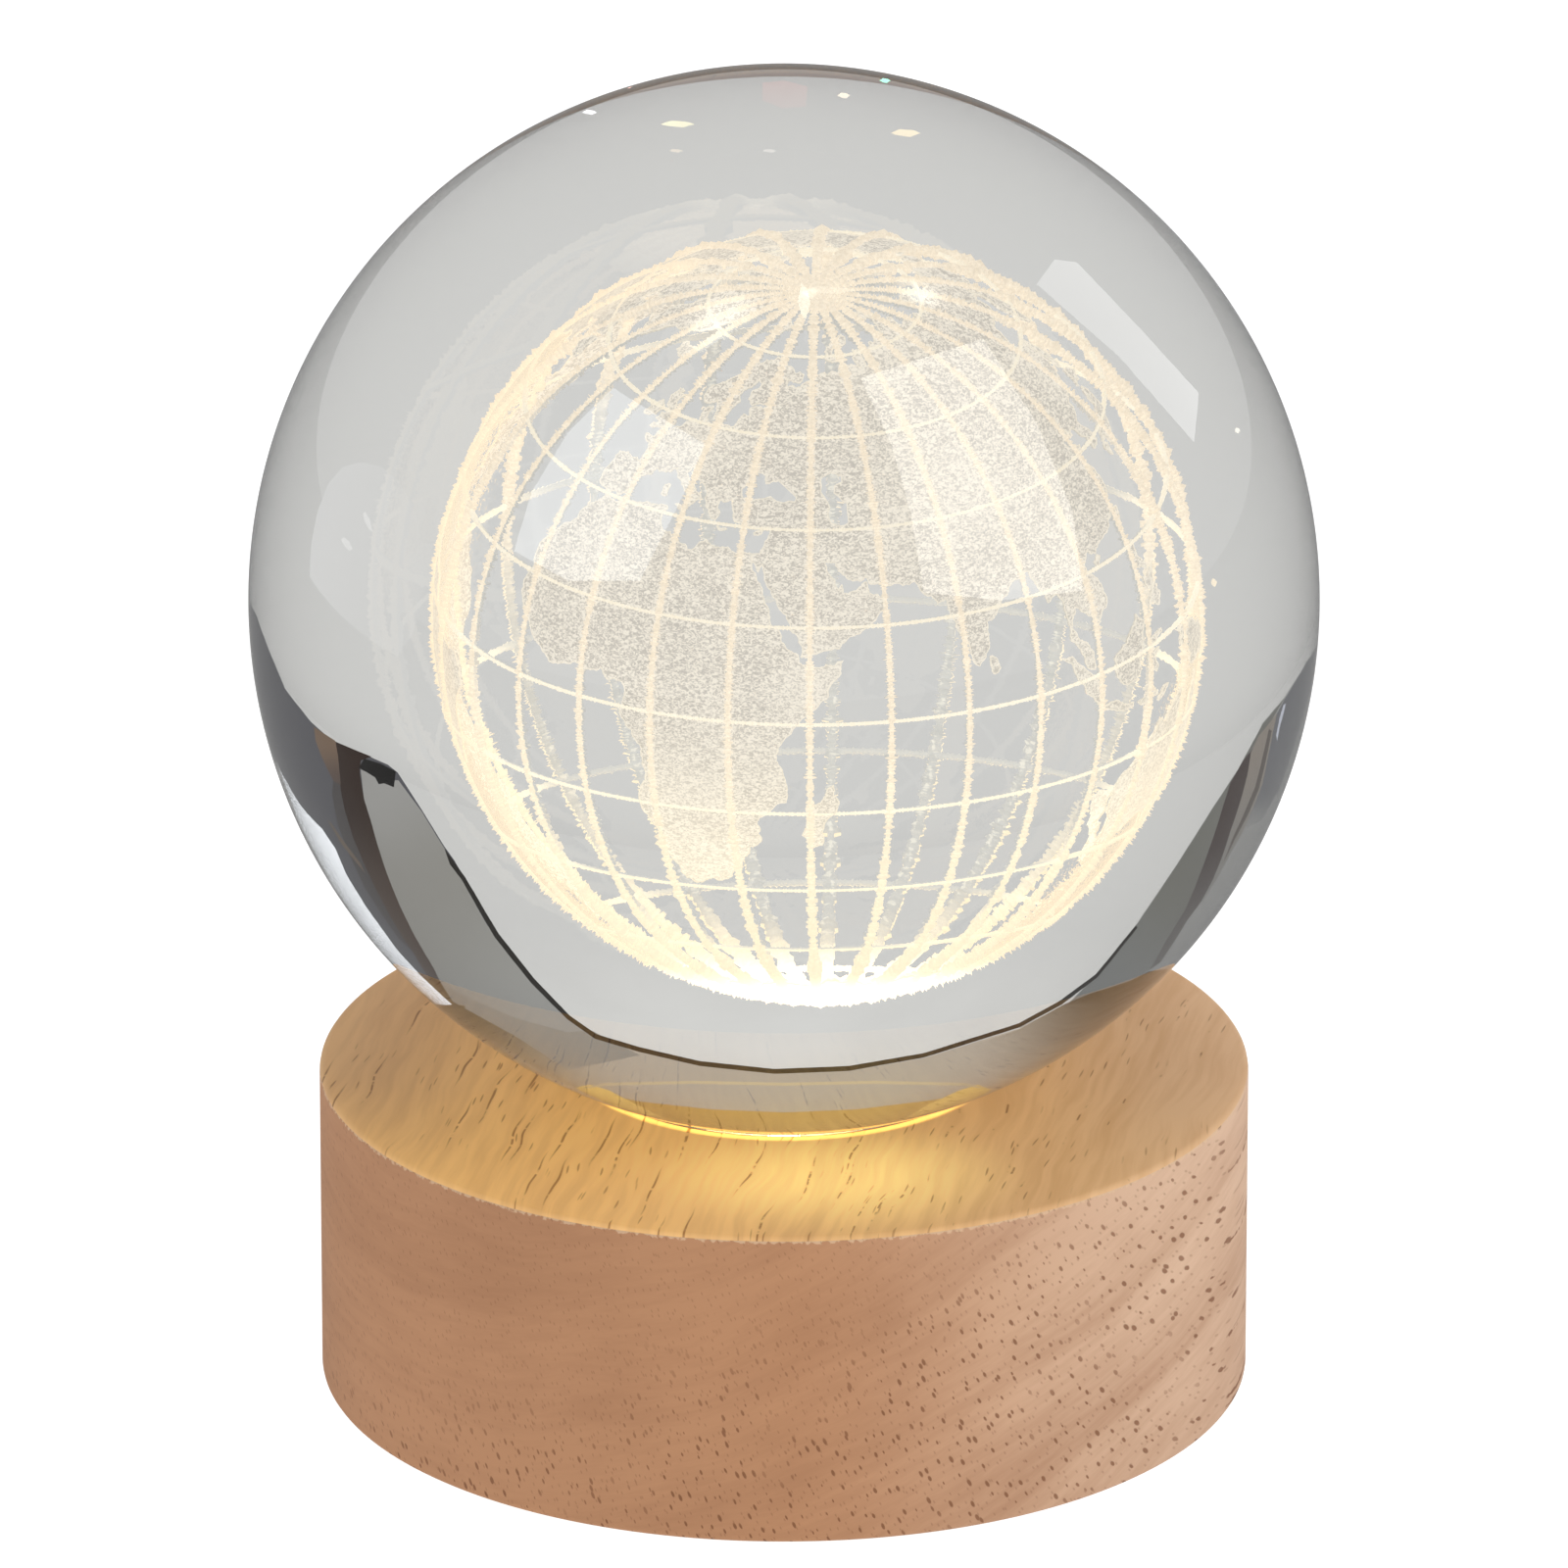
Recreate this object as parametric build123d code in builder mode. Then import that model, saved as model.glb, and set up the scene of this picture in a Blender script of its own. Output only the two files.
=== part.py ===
"""Crystal ball lamp: a glass ball with a globe engraved inside it, on a lit wooden base.

Millimetres, +Z up. The origin is on the surface that the lamp stands on, on the ball's axis.
The front, which the globe's facing longitude looks out of, is -Y.
"""

import os
from math import asin, cos, hypot, radians, sin, sqrt, tan

from build123d import *

os.makedirs("parts", exist_ok=True)

# Glass ball and its seat in the base
ball_radius = 40.0
ball_sink = 3.0
seat_clearance = 0.12
seat_width = 1.2

# Globe engraved inside the ball
globe_radius = 18.9
globe_offset_x = 1.7
globe_offset_z = -0.9
meridian_count = 24
parallel_step = 18.0
last_parallel = 72.0
polar_latitude = 84.0
facing_longitude = 45.5
meridian_width = 0.36
parallel_width = 0.26
line_depth = 0.24
line_clearance = 0.10

# Battery cells, size AAA
cell_radius = 5.25
cell_length = 44.5
cell_nub_radius = 1.9
cell_nub_length = 0.9
cell_chamfer = 0.4
cell_count = 3
cell_gap = 0.5
cell_clearance = 0.3
cell_side_clearance = 0.35

# Battery contacts, stamped from sheet
contact_thickness = 0.4
contact_width = 7.0
contact_height = 8.0
bow_reach = 2.8
bow_height = 6.4
bow_crown = 2.6
bow_width = 4.6
bow_lift = 0.3
button_radius = 1.6
button_reach = 0.5
contact_clearance = 0.15
tab_width = 2.4
tab_height = 1.1
tab_clearance = 0.1

# Battery tray, one moulding with the underside plate
plate_thickness = 2.0
bay_wall = 1.6
bay_roof = 1.2
box_corner = 3.6
divider_width = 1.2
divider_drop = 2.2
door_land = 0.8
pocket_clearance = 0.4
tray_clearance = 0.3

# Battery door
door_thickness = 1.7
door_clearance = 0.3
trunnion_radius = 0.6
trunnion_length = 0.9
trunnion_clearance = 0.05
trunnion_end_clearance = 0.2
trunnion_mouth = 0.9
latch_width = 8.0
latch_thickness = 0.9
latch_rise = 2.0
latch_nib = 0.35
latch_nib_height = 0.8
latch_clearance = 0.25
grip_count = 4
grip_pitch = 1.6
grip_width = 0.8
grip_length = 14.0
grip_depth = 0.4
nail_dish_length = 12.0
nail_dish_width = 3.0
nail_dish_depth = 1.0

# Slide switch
switch_length = 8.6
switch_width = 4.4
switch_height = 3.6
switch_travel = 2.0
switch_cavity_height = 1.6
switch_wall = 0.6
knob_length = 2.6
knob_width = 1.6
knob_reach = 0.3
knob_flange_length = 3.6
knob_flange_height = 1.1
knob_clearance = 0.2
knob_groove_width = 0.4
knob_groove_depth = 0.3
pin_pitch = 2.5
pin_width = 1.0
pin_thickness = 0.4
pin_height = 3.0
cradle_wall = 1.0
cradle_height = 2.4
cradle_clearance = 0.1
dish_margin = 1.0
dish_depth = 0.7
switch_bay_length = 16.0
switch_bay_margin = 1.6

# Wood screws that hold the tray
screw_radius = 0.9
screw_head_radius = 1.9
screw_head_angle = 90.0
screw_length = 8.0
screw_clearance = 0.15
pilot_clearance = 0.05
screw_spread_x = 11.5
screw_inset = 6.9
recess_width = 0.5
recess_depth = 0.6

# Rubber feet
foot_thickness = 0.8
foot_radius = 2.5
foot_spread_x = 19.0
foot_edge = 0.4

# Wooden base
rim_wall = 2.78
rebate_ledge = 1.5
wood_floor = 1.8
wood_edge_chamfer = 0.5
wire_hole_radius = 2.2

# Light board with its parts
glue_thickness = 0.4
glue_side = 12.0
board_thickness = 1.2
board_clearance = 2.0
led_count = 4
led_length = 3.5
led_width = 2.8
led_height = 1.4
led_cup_margin = 0.5
led_cup_depth = 0.5
led_cup_slope = 20.0
led_ring_radius = 4.6
resistor_length = 3.2
resistor_width = 1.6
resistor_height = 0.6
solder_radius = 0.9
solder_height = 0.3
light_gap = 1.2

# Wires
wire_radius = 0.5
wire_space = 1.3
wire_spread = 1.0
wire_bend = 1.6
wire_tail = 1.8
wire_sides = 6
lead_run = 10.0
lead_bend = 5.0
supply_side = 6.0

# Heights, worked out from the floor up
wood_bottom = foot_thickness
plate_top = wood_bottom + plate_thickness
cell_axis_z = plate_top + cell_clearance + cell_radius
bay_top = cell_axis_z + cell_radius + cell_clearance
box_top = bay_top + bay_roof
pocket_top = box_top + wire_space
recess_floor = pocket_top + wood_floor
board_bottom = recess_floor + glue_thickness
board_top = board_bottom + board_thickness
led_top = board_top + led_height
base_top = led_top + light_gap + ball_sink
ball_z = base_top - ball_sink + ball_radius

# Plan sizes of the battery bay, worked out from the cells
cell_pitch = 2 * cell_radius + cell_gap
bay_length = cell_length + bow_reach + button_reach + 2 * contact_thickness + contact_clearance
bay_width = 2 * cell_radius + (cell_count - 1) * cell_pitch + 2 * cell_side_clearance
box_length = bay_length + 2 * bay_wall
box_width = bay_width + 2 * bay_wall
divider_length = bay_length - 2 * (contact_thickness + bow_reach + cell_clearance)
opening_length = bay_length + 2 * door_land
opening_width = bay_width + 2 * door_land
pocket_length = box_length + 2 * pocket_clearance
pocket_width = box_width + 2 * pocket_clearance
pocket_corner = box_corner + pocket_clearance

# Radii of the base, worked out from the pocket's far corners
pocket_reach = pocket_corner + hypot(
    pocket_length / 2 - pocket_corner, pocket_width / 2 - pocket_corner
)
rebate_radius = pocket_reach + rebate_ledge
plate_radius = rebate_radius - tray_clearance
base_radius = rebate_radius + rim_wall

# Seat: a cone that touches the ball's curve halfway along the seat's width
seat_rim_radius = sqrt(ball_radius**2 - (ball_radius - ball_sink) ** 2)
recess_radius = seat_rim_radius - seat_width
seat_angle = asin((seat_rim_radius - seat_width / 2) / ball_radius)
seat_reach = ball_radius + seat_clearance
seat_low_z = (
    ball_z
    - seat_reach * cos(seat_angle)
    - (seat_reach * sin(seat_angle) - recess_radius) * tan(seat_angle)
)
seat_top_radius = recess_radius + (base_top - seat_low_z) / tan(seat_angle)

# Places in plan
board_radius = recess_radius - board_clearance
wire_rise_y = recess_radius - board_clearance / 2
switch_y = (box_width / 2 + plate_radius) / 2
switch_bay_end = switch_y + switch_width / 2 + switch_bay_margin
screw_y = plate_radius - screw_inset
foot_reach = plate_radius - foot_edge - foot_radius
foot_y = sqrt(foot_reach**2 - foot_spread_x**2)
screw_places = [
    (side_x * screw_spread_x, side_y * screw_y) for side_x in (-1, 1) for side_y in (-1, 1)
]
foot_places = [
    (side_x * foot_spread_x, side_y * foot_y) for side_x in (-1, 1) for side_y in (-1, 1)
]
underside = Plane(origin=(0, 0, wood_bottom), x_dir=(1, 0, 0), z_dir=(0, 0, -1))

# Hinge line of the battery door, in the round front edge of the door
barrel_radius = door_thickness / 2
hinge_y = -(opening_width / 2 - door_clearance - barrel_radius)
hinge_z = wood_bottom + barrel_radius


# Crystal ball
with BuildPart() as crystal_ball:
    with Locations((0, 0, ball_z)):
        Sphere(ball_radius)
crystal_ball.part.label = "crystal_ball"
export_step(crystal_ball.part, "parts/crystal_ball.step")


# Engraved globe: its lines run straight from one crossing to the next
globe_centre = (globe_offset_x, 0, ball_z + globe_offset_z)
meridian_phase = -90.0 - facing_longitude
parallels = int(last_parallel // parallel_step)
crossing_latitudes = [parallel_step * row for row in range(-parallels, parallels + 1)]
arc_latitudes = [-polar_latitude, *crossing_latitudes, polar_latitude]


def on_meridian(radius, latitude):
    """Return a point of a meridian, out from the axis and up, at a latitude in degrees."""
    return (radius * cos(radians(latitude)), radius * sin(radians(latitude)))


with BuildPart() as meridian_line:
    with BuildSketch(Plane.XZ):
        with BuildLine():
            outer_points = [on_meridian(globe_radius, lat) for lat in arc_latitudes]
            inner_points = [on_meridian(globe_radius - line_depth, lat) for lat in arc_latitudes]
            Polyline(*outer_points, *reversed(inner_points), close=True)
        make_face()
    extrude(amount=meridian_width / 2, both=True)

with BuildPart() as engraved_globe:
    with Locations(globe_centre):
        with PolarLocations(0, meridian_count, start_angle=meridian_phase):
            add(meridian_line.part)
    parallel_reach = globe_radius - line_depth - line_clearance - parallel_width / 2
    for latitude in crossing_latitudes:
        ring_radius, ring_z = on_meridian(parallel_reach, latitude)
        ring_plane = Plane(globe_centre).offset(ring_z - parallel_width / 2)
        with BuildSketch(ring_plane):
            RegularPolygon(ring_radius, meridian_count, rotation=meridian_phase)
            RegularPolygon(
                ring_radius - line_depth,
                meridian_count,
                rotation=meridian_phase,
                mode=Mode.SUBTRACT,
            )
        extrude(amount=parallel_width)
    cap_radius, cap_z = on_meridian(parallel_reach, polar_latitude)
    for side in (-1, 1):
        with BuildSketch(Plane(globe_centre).offset(side * cap_z - parallel_width / 2)):
            RegularPolygon(cap_radius, meridian_count, rotation=meridian_phase)
        extrude(amount=parallel_width)
engraved_globe.part.label = "engraved_globe"
export_step(engraved_globe.part, "parts/engraved_globe.step")


# Wooden base: turned blank with the light recess on top and the tray's rebate below
with BuildPart() as wooden_base:
    with BuildSketch(Plane.XZ):
        with BuildLine():
            Polyline(
                (0, recess_floor),
                (recess_radius, recess_floor),
                (recess_radius, seat_low_z),
                (seat_top_radius, base_top),
                (base_radius, base_top),
                (base_radius, wood_bottom),
                (rebate_radius, wood_bottom),
                (rebate_radius, plate_top),
                (0, plate_top),
                close=True,
            )
        make_face()
    revolve(axis=Axis.Z)
    rims = wooden_base.edges().filter_by(GeomType.CIRCLE)
    outer_rims = rims.filter_by(lambda rim: abs(rim.radius - base_radius) < wood_edge_chamfer)
    chamfer(outer_rims, length=wood_edge_chamfer)
    with BuildSketch(Plane.XY.offset(plate_top)):
        RectangleRounded(pocket_length, pocket_width, pocket_corner)
        with Locations((0, switch_bay_end / 2)):
            Rectangle(switch_bay_length, switch_bay_end)
    extrude(amount=pocket_top - plate_top, mode=Mode.SUBTRACT)
    with BuildSketch(Plane.XY.offset(pocket_top)):
        with Locations((0, wire_rise_y)):
            Circle(wire_hole_radius)
    extrude(amount=wood_floor, mode=Mode.SUBTRACT)
    with BuildSketch(Plane.XY.offset(plate_top)):
        with Locations(*screw_places):
            Circle(screw_radius + pilot_clearance)
    extrude(amount=screw_length, mode=Mode.SUBTRACT)
wooden_base.part.label = "wooden_base"
export_step(wooden_base.part, "parts/wooden_base.step")


# Battery tray: underside plate, battery box, door opening, switch seat and screw holes
knob_rest_x = -switch_travel / 2
slot_length = knob_length + switch_travel + 2 * knob_clearance
slot_width = knob_width + 2 * knob_clearance
terminal_x = bay_length / 2 - contact_thickness / 2
terminal_y = (cell_count - 1) * cell_pitch / 2
terminal_places = [(-terminal_x, -terminal_y), (terminal_x, terminal_y)]

with BuildPart() as battery_tray:
    with BuildSketch(Plane.XY.offset(wood_bottom)):
        Circle(plate_radius)
    extrude(amount=plate_thickness)
    with BuildSketch(Plane.XY.offset(plate_top)):
        RectangleRounded(box_length, box_width, box_corner)
    extrude(amount=box_top - plate_top)
    with BuildSketch(Plane.XY.offset(wood_bottom)):
        RectangleRounded(bay_length, bay_width, box_corner - bay_wall)
    extrude(amount=bay_top - wood_bottom, mode=Mode.SUBTRACT)
    with BuildSketch(Plane.XY.offset(wood_bottom)):
        Rectangle(opening_length, opening_width)
    extrude(amount=plate_thickness, mode=Mode.SUBTRACT)
    # Ribs that hang between the cells
    with BuildSketch(Plane.XY.offset(bay_top - divider_drop)):
        with GridLocations(0, cell_pitch, 1, cell_count - 1):
            Rectangle(divider_length, divider_width)
    extrude(amount=divider_drop)
    # Slots in the roof for the solder tabs
    with BuildSketch(Plane.XY.offset(bay_top)):
        with Locations(*terminal_places):
            Rectangle(contact_thickness + 2 * tab_clearance, tab_width + 2 * tab_clearance)
    extrude(amount=bay_roof, mode=Mode.SUBTRACT)
    # Cradle and slot of the switch, and the dish that a finger reaches into
    with BuildSketch(Plane.XY.offset(plate_top)):
        with Locations((0, switch_y)):
            with GridLocations(switch_length + 2 * cradle_clearance + cradle_wall, 0, 2, 1):
                Rectangle(cradle_wall, switch_width)
    extrude(amount=cradle_height)
    with BuildSketch(Plane.XY.offset(wood_bottom)):
        with Locations((0, switch_y)):
            SlotOverall(slot_length + 2 * dish_margin + slot_width, slot_width + 2 * dish_margin)
    extrude(amount=dish_depth, mode=Mode.SUBTRACT)
    with BuildSketch(Plane.XY.offset(wood_bottom)):
        with Locations((0, switch_y)):
            Rectangle(slot_length, slot_width)
    extrude(amount=plate_thickness, mode=Mode.SUBTRACT)
    # Fingernail dish at the door's free edge
    with BuildSketch(Plane.XY.offset(wood_bottom)):
        with Locations((0, opening_width / 2)):
            SlotOverall(nail_dish_length, nail_dish_width)
    extrude(amount=nail_dish_depth, mode=Mode.SUBTRACT)
    # Snap notches for the door's trunnions, open below
    with BuildSketch(Plane.YZ):
        with Locations((hinge_y, hinge_z)):
            Circle(trunnion_radius + trunnion_clearance)
    notch_reach = opening_length / 2 - door_clearance + trunnion_length + trunnion_end_clearance
    extrude(amount=notch_reach, both=True, mode=Mode.SUBTRACT)
    with BuildSketch(underside):
        with Locations((0, -hinge_y)):
            Rectangle(2 * notch_reach, trunnion_mouth)
    extrude(amount=-barrel_radius, mode=Mode.SUBTRACT)
    # Countersunk screw holes
    with Locations(underside):
        with Locations(*screw_places):
            CounterSinkHole(
                screw_radius + screw_clearance,
                screw_head_radius + screw_clearance,
                depth=plate_thickness,
                counter_sink_angle=screw_head_angle,
            )
battery_tray.part.label = "battery_tray"
export_step(battery_tray.part, "parts/battery_tray.step")


# Battery door: flat panel, round hinge edge with trunnions, sprung latch and grip grooves
door_length = opening_length - 2 * door_clearance
door_free_y = opening_width / 2 - door_clearance
latch_y = bay_width / 2 - latch_clearance - latch_nib - latch_thickness

with BuildPart() as battery_door:
    with BuildSketch(Plane.XY.offset(wood_bottom)):
        with Locations((0, (door_free_y + hinge_y) / 2)):
            Rectangle(door_length, door_free_y - hinge_y)
    extrude(amount=door_thickness)
    with BuildSketch(Plane.YZ):
        with Locations((hinge_y, hinge_z)):
            Circle(barrel_radius)
    extrude(amount=door_length / 2, both=True)
    with BuildSketch(Plane.YZ):
        with Locations((hinge_y, hinge_z)):
            Circle(trunnion_radius)
    extrude(amount=door_length / 2 + trunnion_length, both=True)
    # Latch arm that rises inside the box wall, with its nib
    door_top = wood_bottom + door_thickness
    with BuildSketch(Plane.YZ):
        with BuildLine():
            Polyline(
                (latch_y, door_top - door_thickness / 2),
                (latch_y, door_top + latch_rise),
                (latch_y + latch_thickness, door_top + latch_rise),
                (latch_y + latch_thickness + latch_nib, door_top + latch_rise - latch_nib_height / 2),
                (latch_y + latch_thickness, door_top + latch_rise - latch_nib_height),
                (latch_y + latch_thickness, door_top - door_thickness / 2),
                close=True,
            )
        make_face()
    extrude(amount=latch_width / 2, both=True)
    with BuildSketch(Plane.XY.offset(wood_bottom)):
        with Locations((0, door_free_y - (grip_count + 1) * grip_pitch)):
            with GridLocations(0, grip_pitch, 1, grip_count):
                Rectangle(grip_length, grip_width)
    extrude(amount=grip_depth, mode=Mode.SUBTRACT)
battery_door.part.label = "battery_door"
export_step(battery_door.part, "parts/battery_door.step")


# Battery cells, side by side with their nubs at alternate ends
for number in range(cell_count):
    nub_side = 1 if number % 2 == 0 else -1
    cell_y = (number - (cell_count - 1) / 2) * cell_pitch
    negative_x = nub_side * (-bay_length / 2 + contact_thickness + bow_reach)
    cell_plane = Plane(
        origin=(negative_x, cell_y, cell_axis_z), x_dir=(0, 0, 1), z_dir=(nub_side, 0, 0)
    )
    with BuildPart() as cell:
        with BuildSketch(cell_plane):
            Circle(cell_radius)
        extrude(amount=cell_length - cell_nub_length)
        shoulder = cell.edges().filter_by(GeomType.CIRCLE).sort_by(Axis.X)
        chamfer(shoulder[-1 if nub_side > 0 else 0], length=cell_chamfer)
        with BuildSketch(cell_plane.offset(cell_length - cell_nub_length)):
            Circle(cell_nub_radius)
        extrude(amount=cell_nub_length)
    cell.part.label = f"cell_{number + 1}"
    export_step(cell.part, f"parts/cell_{number + 1}.step")


# Battery contacts: sheet plates with a bow spring for a flat end and a button for a nub
def bow_outline():
    """Return the outline of a bow spring, out from its plate and up from the cell's axis."""
    foot = bow_height / 2
    crown = bow_crown / 2
    outer = [(0, -foot), (bow_reach, -crown), (bow_reach, crown), (bow_lift, foot)]
    skin = contact_thickness
    inner = [(bow_lift, foot - skin), (bow_reach - skin, crown), (bow_reach - skin, -crown)]
    return [*outer, *inner, (0, skin - foot)]


def contact_end(side, cell_y):
    """Return the plane of a contact's inner face, looking into the bay from one end."""
    return Plane(
        origin=(side * (bay_length / 2 - contact_thickness), cell_y, cell_axis_z),
        x_dir=(0, -side, 0),
        z_dir=(-side, 0, 0),
    )


def contact(name, side, places, tab_y=None):
    """Build and write one contact.

    places lists the cells that it touches, each as its y and whether a bow meets it.
    tab_y is where its solder tab stands up through the roof, on a terminal.
    """
    middle_y = sum(cell_y for cell_y, bowed in places) / len(places)
    plate_span = abs(places[0][0] - places[-1][0]) + contact_width
    with BuildPart() as piece:
        with BuildSketch(contact_end(side, middle_y)):
            Rectangle(plate_span, contact_height)
        extrude(amount=-contact_thickness)
        for cell_y, bowed in places:
            if bowed:
                section = Plane(
                    origin=(side * (bay_length / 2 - contact_thickness), cell_y, cell_axis_z),
                    x_dir=(-side, 0, 0),
                    z_dir=(0, side, 0),
                )
                with BuildSketch(section):
                    with BuildLine():
                        Polyline(*bow_outline(), close=True)
                    make_face()
                extrude(amount=bow_width / 2, both=True)
            else:
                with BuildSketch(contact_end(side, cell_y)):
                    RegularPolygon(button_radius, 2 * wire_sides)
                extrude(amount=button_reach)
        if tab_y is not None:
            with BuildSketch(Plane.XY.offset(cell_axis_z)):
                with Locations((side * terminal_x, tab_y)):
                    Rectangle(contact_thickness, tab_width)
            extrude(amount=box_top + tab_height - cell_axis_z)
    piece.part.label = name
    export_step(piece.part, f"parts/{name}.step")


contact("negative_terminal", -1, [(-terminal_y, True)], tab_y=-terminal_y)
contact("positive_terminal", 1, [(terminal_y, False)], tab_y=terminal_y)
contact("link_contact_right", 1, [(-terminal_y, False), (0, True)])
contact("link_contact_left", -1, [(0, False), (terminal_y, True)])


# Slide switch: case with its knob's cavity, pins on top, knob below
with BuildPart() as switch_case:
    with BuildSketch(Plane.XY.offset(plate_top)):
        with Locations((0, switch_y)):
            Rectangle(switch_length, switch_width)
    extrude(amount=switch_height)
    with BuildSketch(Plane.XY.offset(plate_top)):
        with Locations((0, switch_y)):
            Rectangle(switch_length - 2 * switch_wall, switch_width - 2 * switch_wall)
    extrude(amount=switch_cavity_height, mode=Mode.SUBTRACT)
switch_case.part.label = "switch_case"
export_step(switch_case.part, "parts/switch_case.step")

with BuildPart() as switch_pins:
    with BuildSketch(Plane.XY.offset(plate_top + switch_height)):
        with Locations((0, switch_y)):
            with GridLocations(pin_pitch, 0, 3, 1):
                Rectangle(pin_width, pin_thickness)
    extrude(amount=pin_height)
switch_pins.part.label = "switch_pins"
export_step(switch_pins.part, "parts/switch_pins.step")

with BuildPart() as switch_knob:
    knob_bottom = wood_bottom - knob_reach
    flange_bottom = plate_top + knob_clearance
    with BuildSketch(Plane.XY.offset(knob_bottom)):
        with Locations((knob_rest_x, switch_y)):
            Rectangle(knob_length, knob_width)
    extrude(amount=flange_bottom - knob_bottom)
    with BuildSketch(Plane.XY.offset(flange_bottom)):
        with Locations((knob_rest_x, switch_y)):
            Rectangle(knob_flange_length, switch_width - 2 * switch_wall - 2 * knob_clearance)
    extrude(amount=knob_flange_height)
    with BuildSketch(Plane.XY.offset(knob_bottom)):
        with Locations((knob_rest_x, switch_y)):
            with GridLocations(2 * knob_groove_width, 0, 3, 1):
                Rectangle(knob_groove_width, knob_width)
    extrude(amount=knob_groove_depth, mode=Mode.SUBTRACT)
switch_knob.part.label = "switch_knob"
export_step(switch_knob.part, "parts/switch_knob.step")


# Tray screws, countersunk, one node of separate solids
head_depth = screw_head_radius - screw_radius

with BuildPart() as tray_screw:
    with BuildSketch(Plane.XZ):
        with BuildLine():
            Polyline(
                (0, wood_bottom),
                (screw_head_radius, wood_bottom),
                (screw_radius, wood_bottom + head_depth),
                (screw_radius, wood_bottom + screw_length),
                (0, wood_bottom + screw_length),
                close=True,
            )
        make_face()
    revolve(axis=Axis.Z)
    with BuildSketch(Plane.XY.offset(wood_bottom)):
        Rectangle(2 * screw_radius, recess_width)
        Rectangle(recess_width, 2 * screw_radius)
    extrude(amount=recess_depth, mode=Mode.SUBTRACT)

with BuildPart() as tray_screws:
    with Locations(*screw_places):
        add(tray_screw.part)
tray_screws.part.label = "tray_screws"
export_step(tray_screws.part, "parts/tray_screws.step")


# Rubber feet, stuck under the plate
for number, (foot_x, foot_place_y) in enumerate(foot_places, start=1):
    with BuildPart() as rubber_foot:
        with BuildSketch():
            with Locations((foot_x, foot_place_y)):
                Circle(foot_radius)
        extrude(amount=foot_thickness)
    rubber_foot.part.label = f"rubber_foot_{number}"
    export_step(rubber_foot.part, f"parts/rubber_foot_{number}.step")


# Light board, its glue pad, light-emitting diodes, resistor and solder pads
with BuildPart() as glue_pad:
    with BuildSketch(Plane.XY.offset(recess_floor)):
        Rectangle(glue_side, glue_side)
    extrude(amount=glue_thickness)
glue_pad.part.label = "glue_pad"
export_step(glue_pad.part, "parts/glue_pad.step")

with BuildPart() as light_board:
    with BuildSketch(Plane.XY.offset(board_bottom)):
        Circle(board_radius)
    extrude(amount=board_thickness)
light_board.part.label = "light_board"
export_step(light_board.part, "parts/light_board.step")

with BuildPart() as led_blank:
    with BuildSketch(Plane.XY.offset(board_top)):
        Rectangle(led_width, led_length)
    extrude(amount=led_height)
    with BuildSketch(Plane.XY.offset(led_top)):
        Rectangle(led_width - 2 * led_cup_margin, led_length - 2 * led_cup_margin)
    extrude(amount=-led_cup_depth, taper=led_cup_slope, mode=Mode.SUBTRACT)

for number in range(led_count):
    led_angle = 360.0 / led_count * number
    with BuildPart() as led:
        with PolarLocations(led_ring_radius, 1, start_angle=led_angle):
            add(led_blank.part)
    led.part.label = f"led_{number + 1}"
    export_step(led.part, f"parts/led_{number + 1}.step")

with BuildPart() as board_resistor:
    with BuildSketch(Plane.XY.offset(board_top)):
        Rectangle(resistor_length, resistor_width)
    extrude(amount=resistor_height)
board_resistor.part.label = "board_resistor"
export_step(board_resistor.part, "parts/board_resistor.step")

wire_end_y = wire_rise_y - wire_bend - wire_tail
with BuildPart() as solder_pads:
    with BuildSketch(Plane.XY.offset(board_top)):
        with Locations((0, wire_end_y + solder_radius)):
            with GridLocations(2 * wire_spread, 0, 2, 1):
                RegularPolygon(solder_radius, 2 * wire_sides)
    extrude(amount=solder_height)
solder_pads.part.label = "solder_pads"
export_step(solder_pads.part, "parts/solder_pads.step")


# Wires inside the base
def wire(name, points, bends):
    """Build and write one wire along straight runs joined by arcs, and print its length."""
    with BuildPart() as piece:
        with BuildLine() as route:
            FilletPolyline(*points, radius=bends)
        start = Plane(origin=route.line @ 0, z_dir=route.line % 0)
        with BuildSketch(start):
            RegularPolygon(wire_radius, wire_sides)
        sweep()
    piece.part.label = name
    export_step(piece.part, f"parts/{name}.step")
    print(f"{name}: {route.wire().length:.1f} mm long, arcs of {bends} mm")


wire_low_z = box_top + wire_space / 2
wire_high_z = board_top + solder_height + wire_radius
lead_start_x = bay_length / 2 - contact_thickness
pin_top_z = plate_top + switch_height + pin_height

wire(
    "wire_positive",
    [
        (lead_start_x, terminal_y, wire_low_z),
        (lead_start_x - lead_run, terminal_y, wire_low_z),
        (wire_spread, wire_rise_y, wire_low_z),
        (wire_spread, wire_rise_y, wire_high_z),
        (wire_spread, wire_end_y, wire_high_z),
    ],
    [lead_bend, wire_bend, wire_bend],
)
wire(
    "wire_to_switch",
    [
        (-lead_start_x, -terminal_y, wire_low_z),
        (-lead_start_x + lead_run, -terminal_y, wire_low_z),
        (-supply_side, wire_rise_y, wire_low_z),
        (-pin_pitch, switch_y, wire_low_z),
        (-pin_pitch, switch_y, pin_top_z),
    ],
    [lead_bend, lead_bend, wire_bend],
)
wire(
    "wire_to_board",
    [
        (0, switch_y, pin_top_z),
        (0, switch_y, wire_low_z),
        (-wire_spread, wire_rise_y, wire_low_z),
        (-wire_spread, wire_rise_y, wire_high_z),
        (-wire_spread, wire_end_y, wire_high_z),
    ],
    [wire_bend, wire_bend, wire_bend],
)

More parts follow.
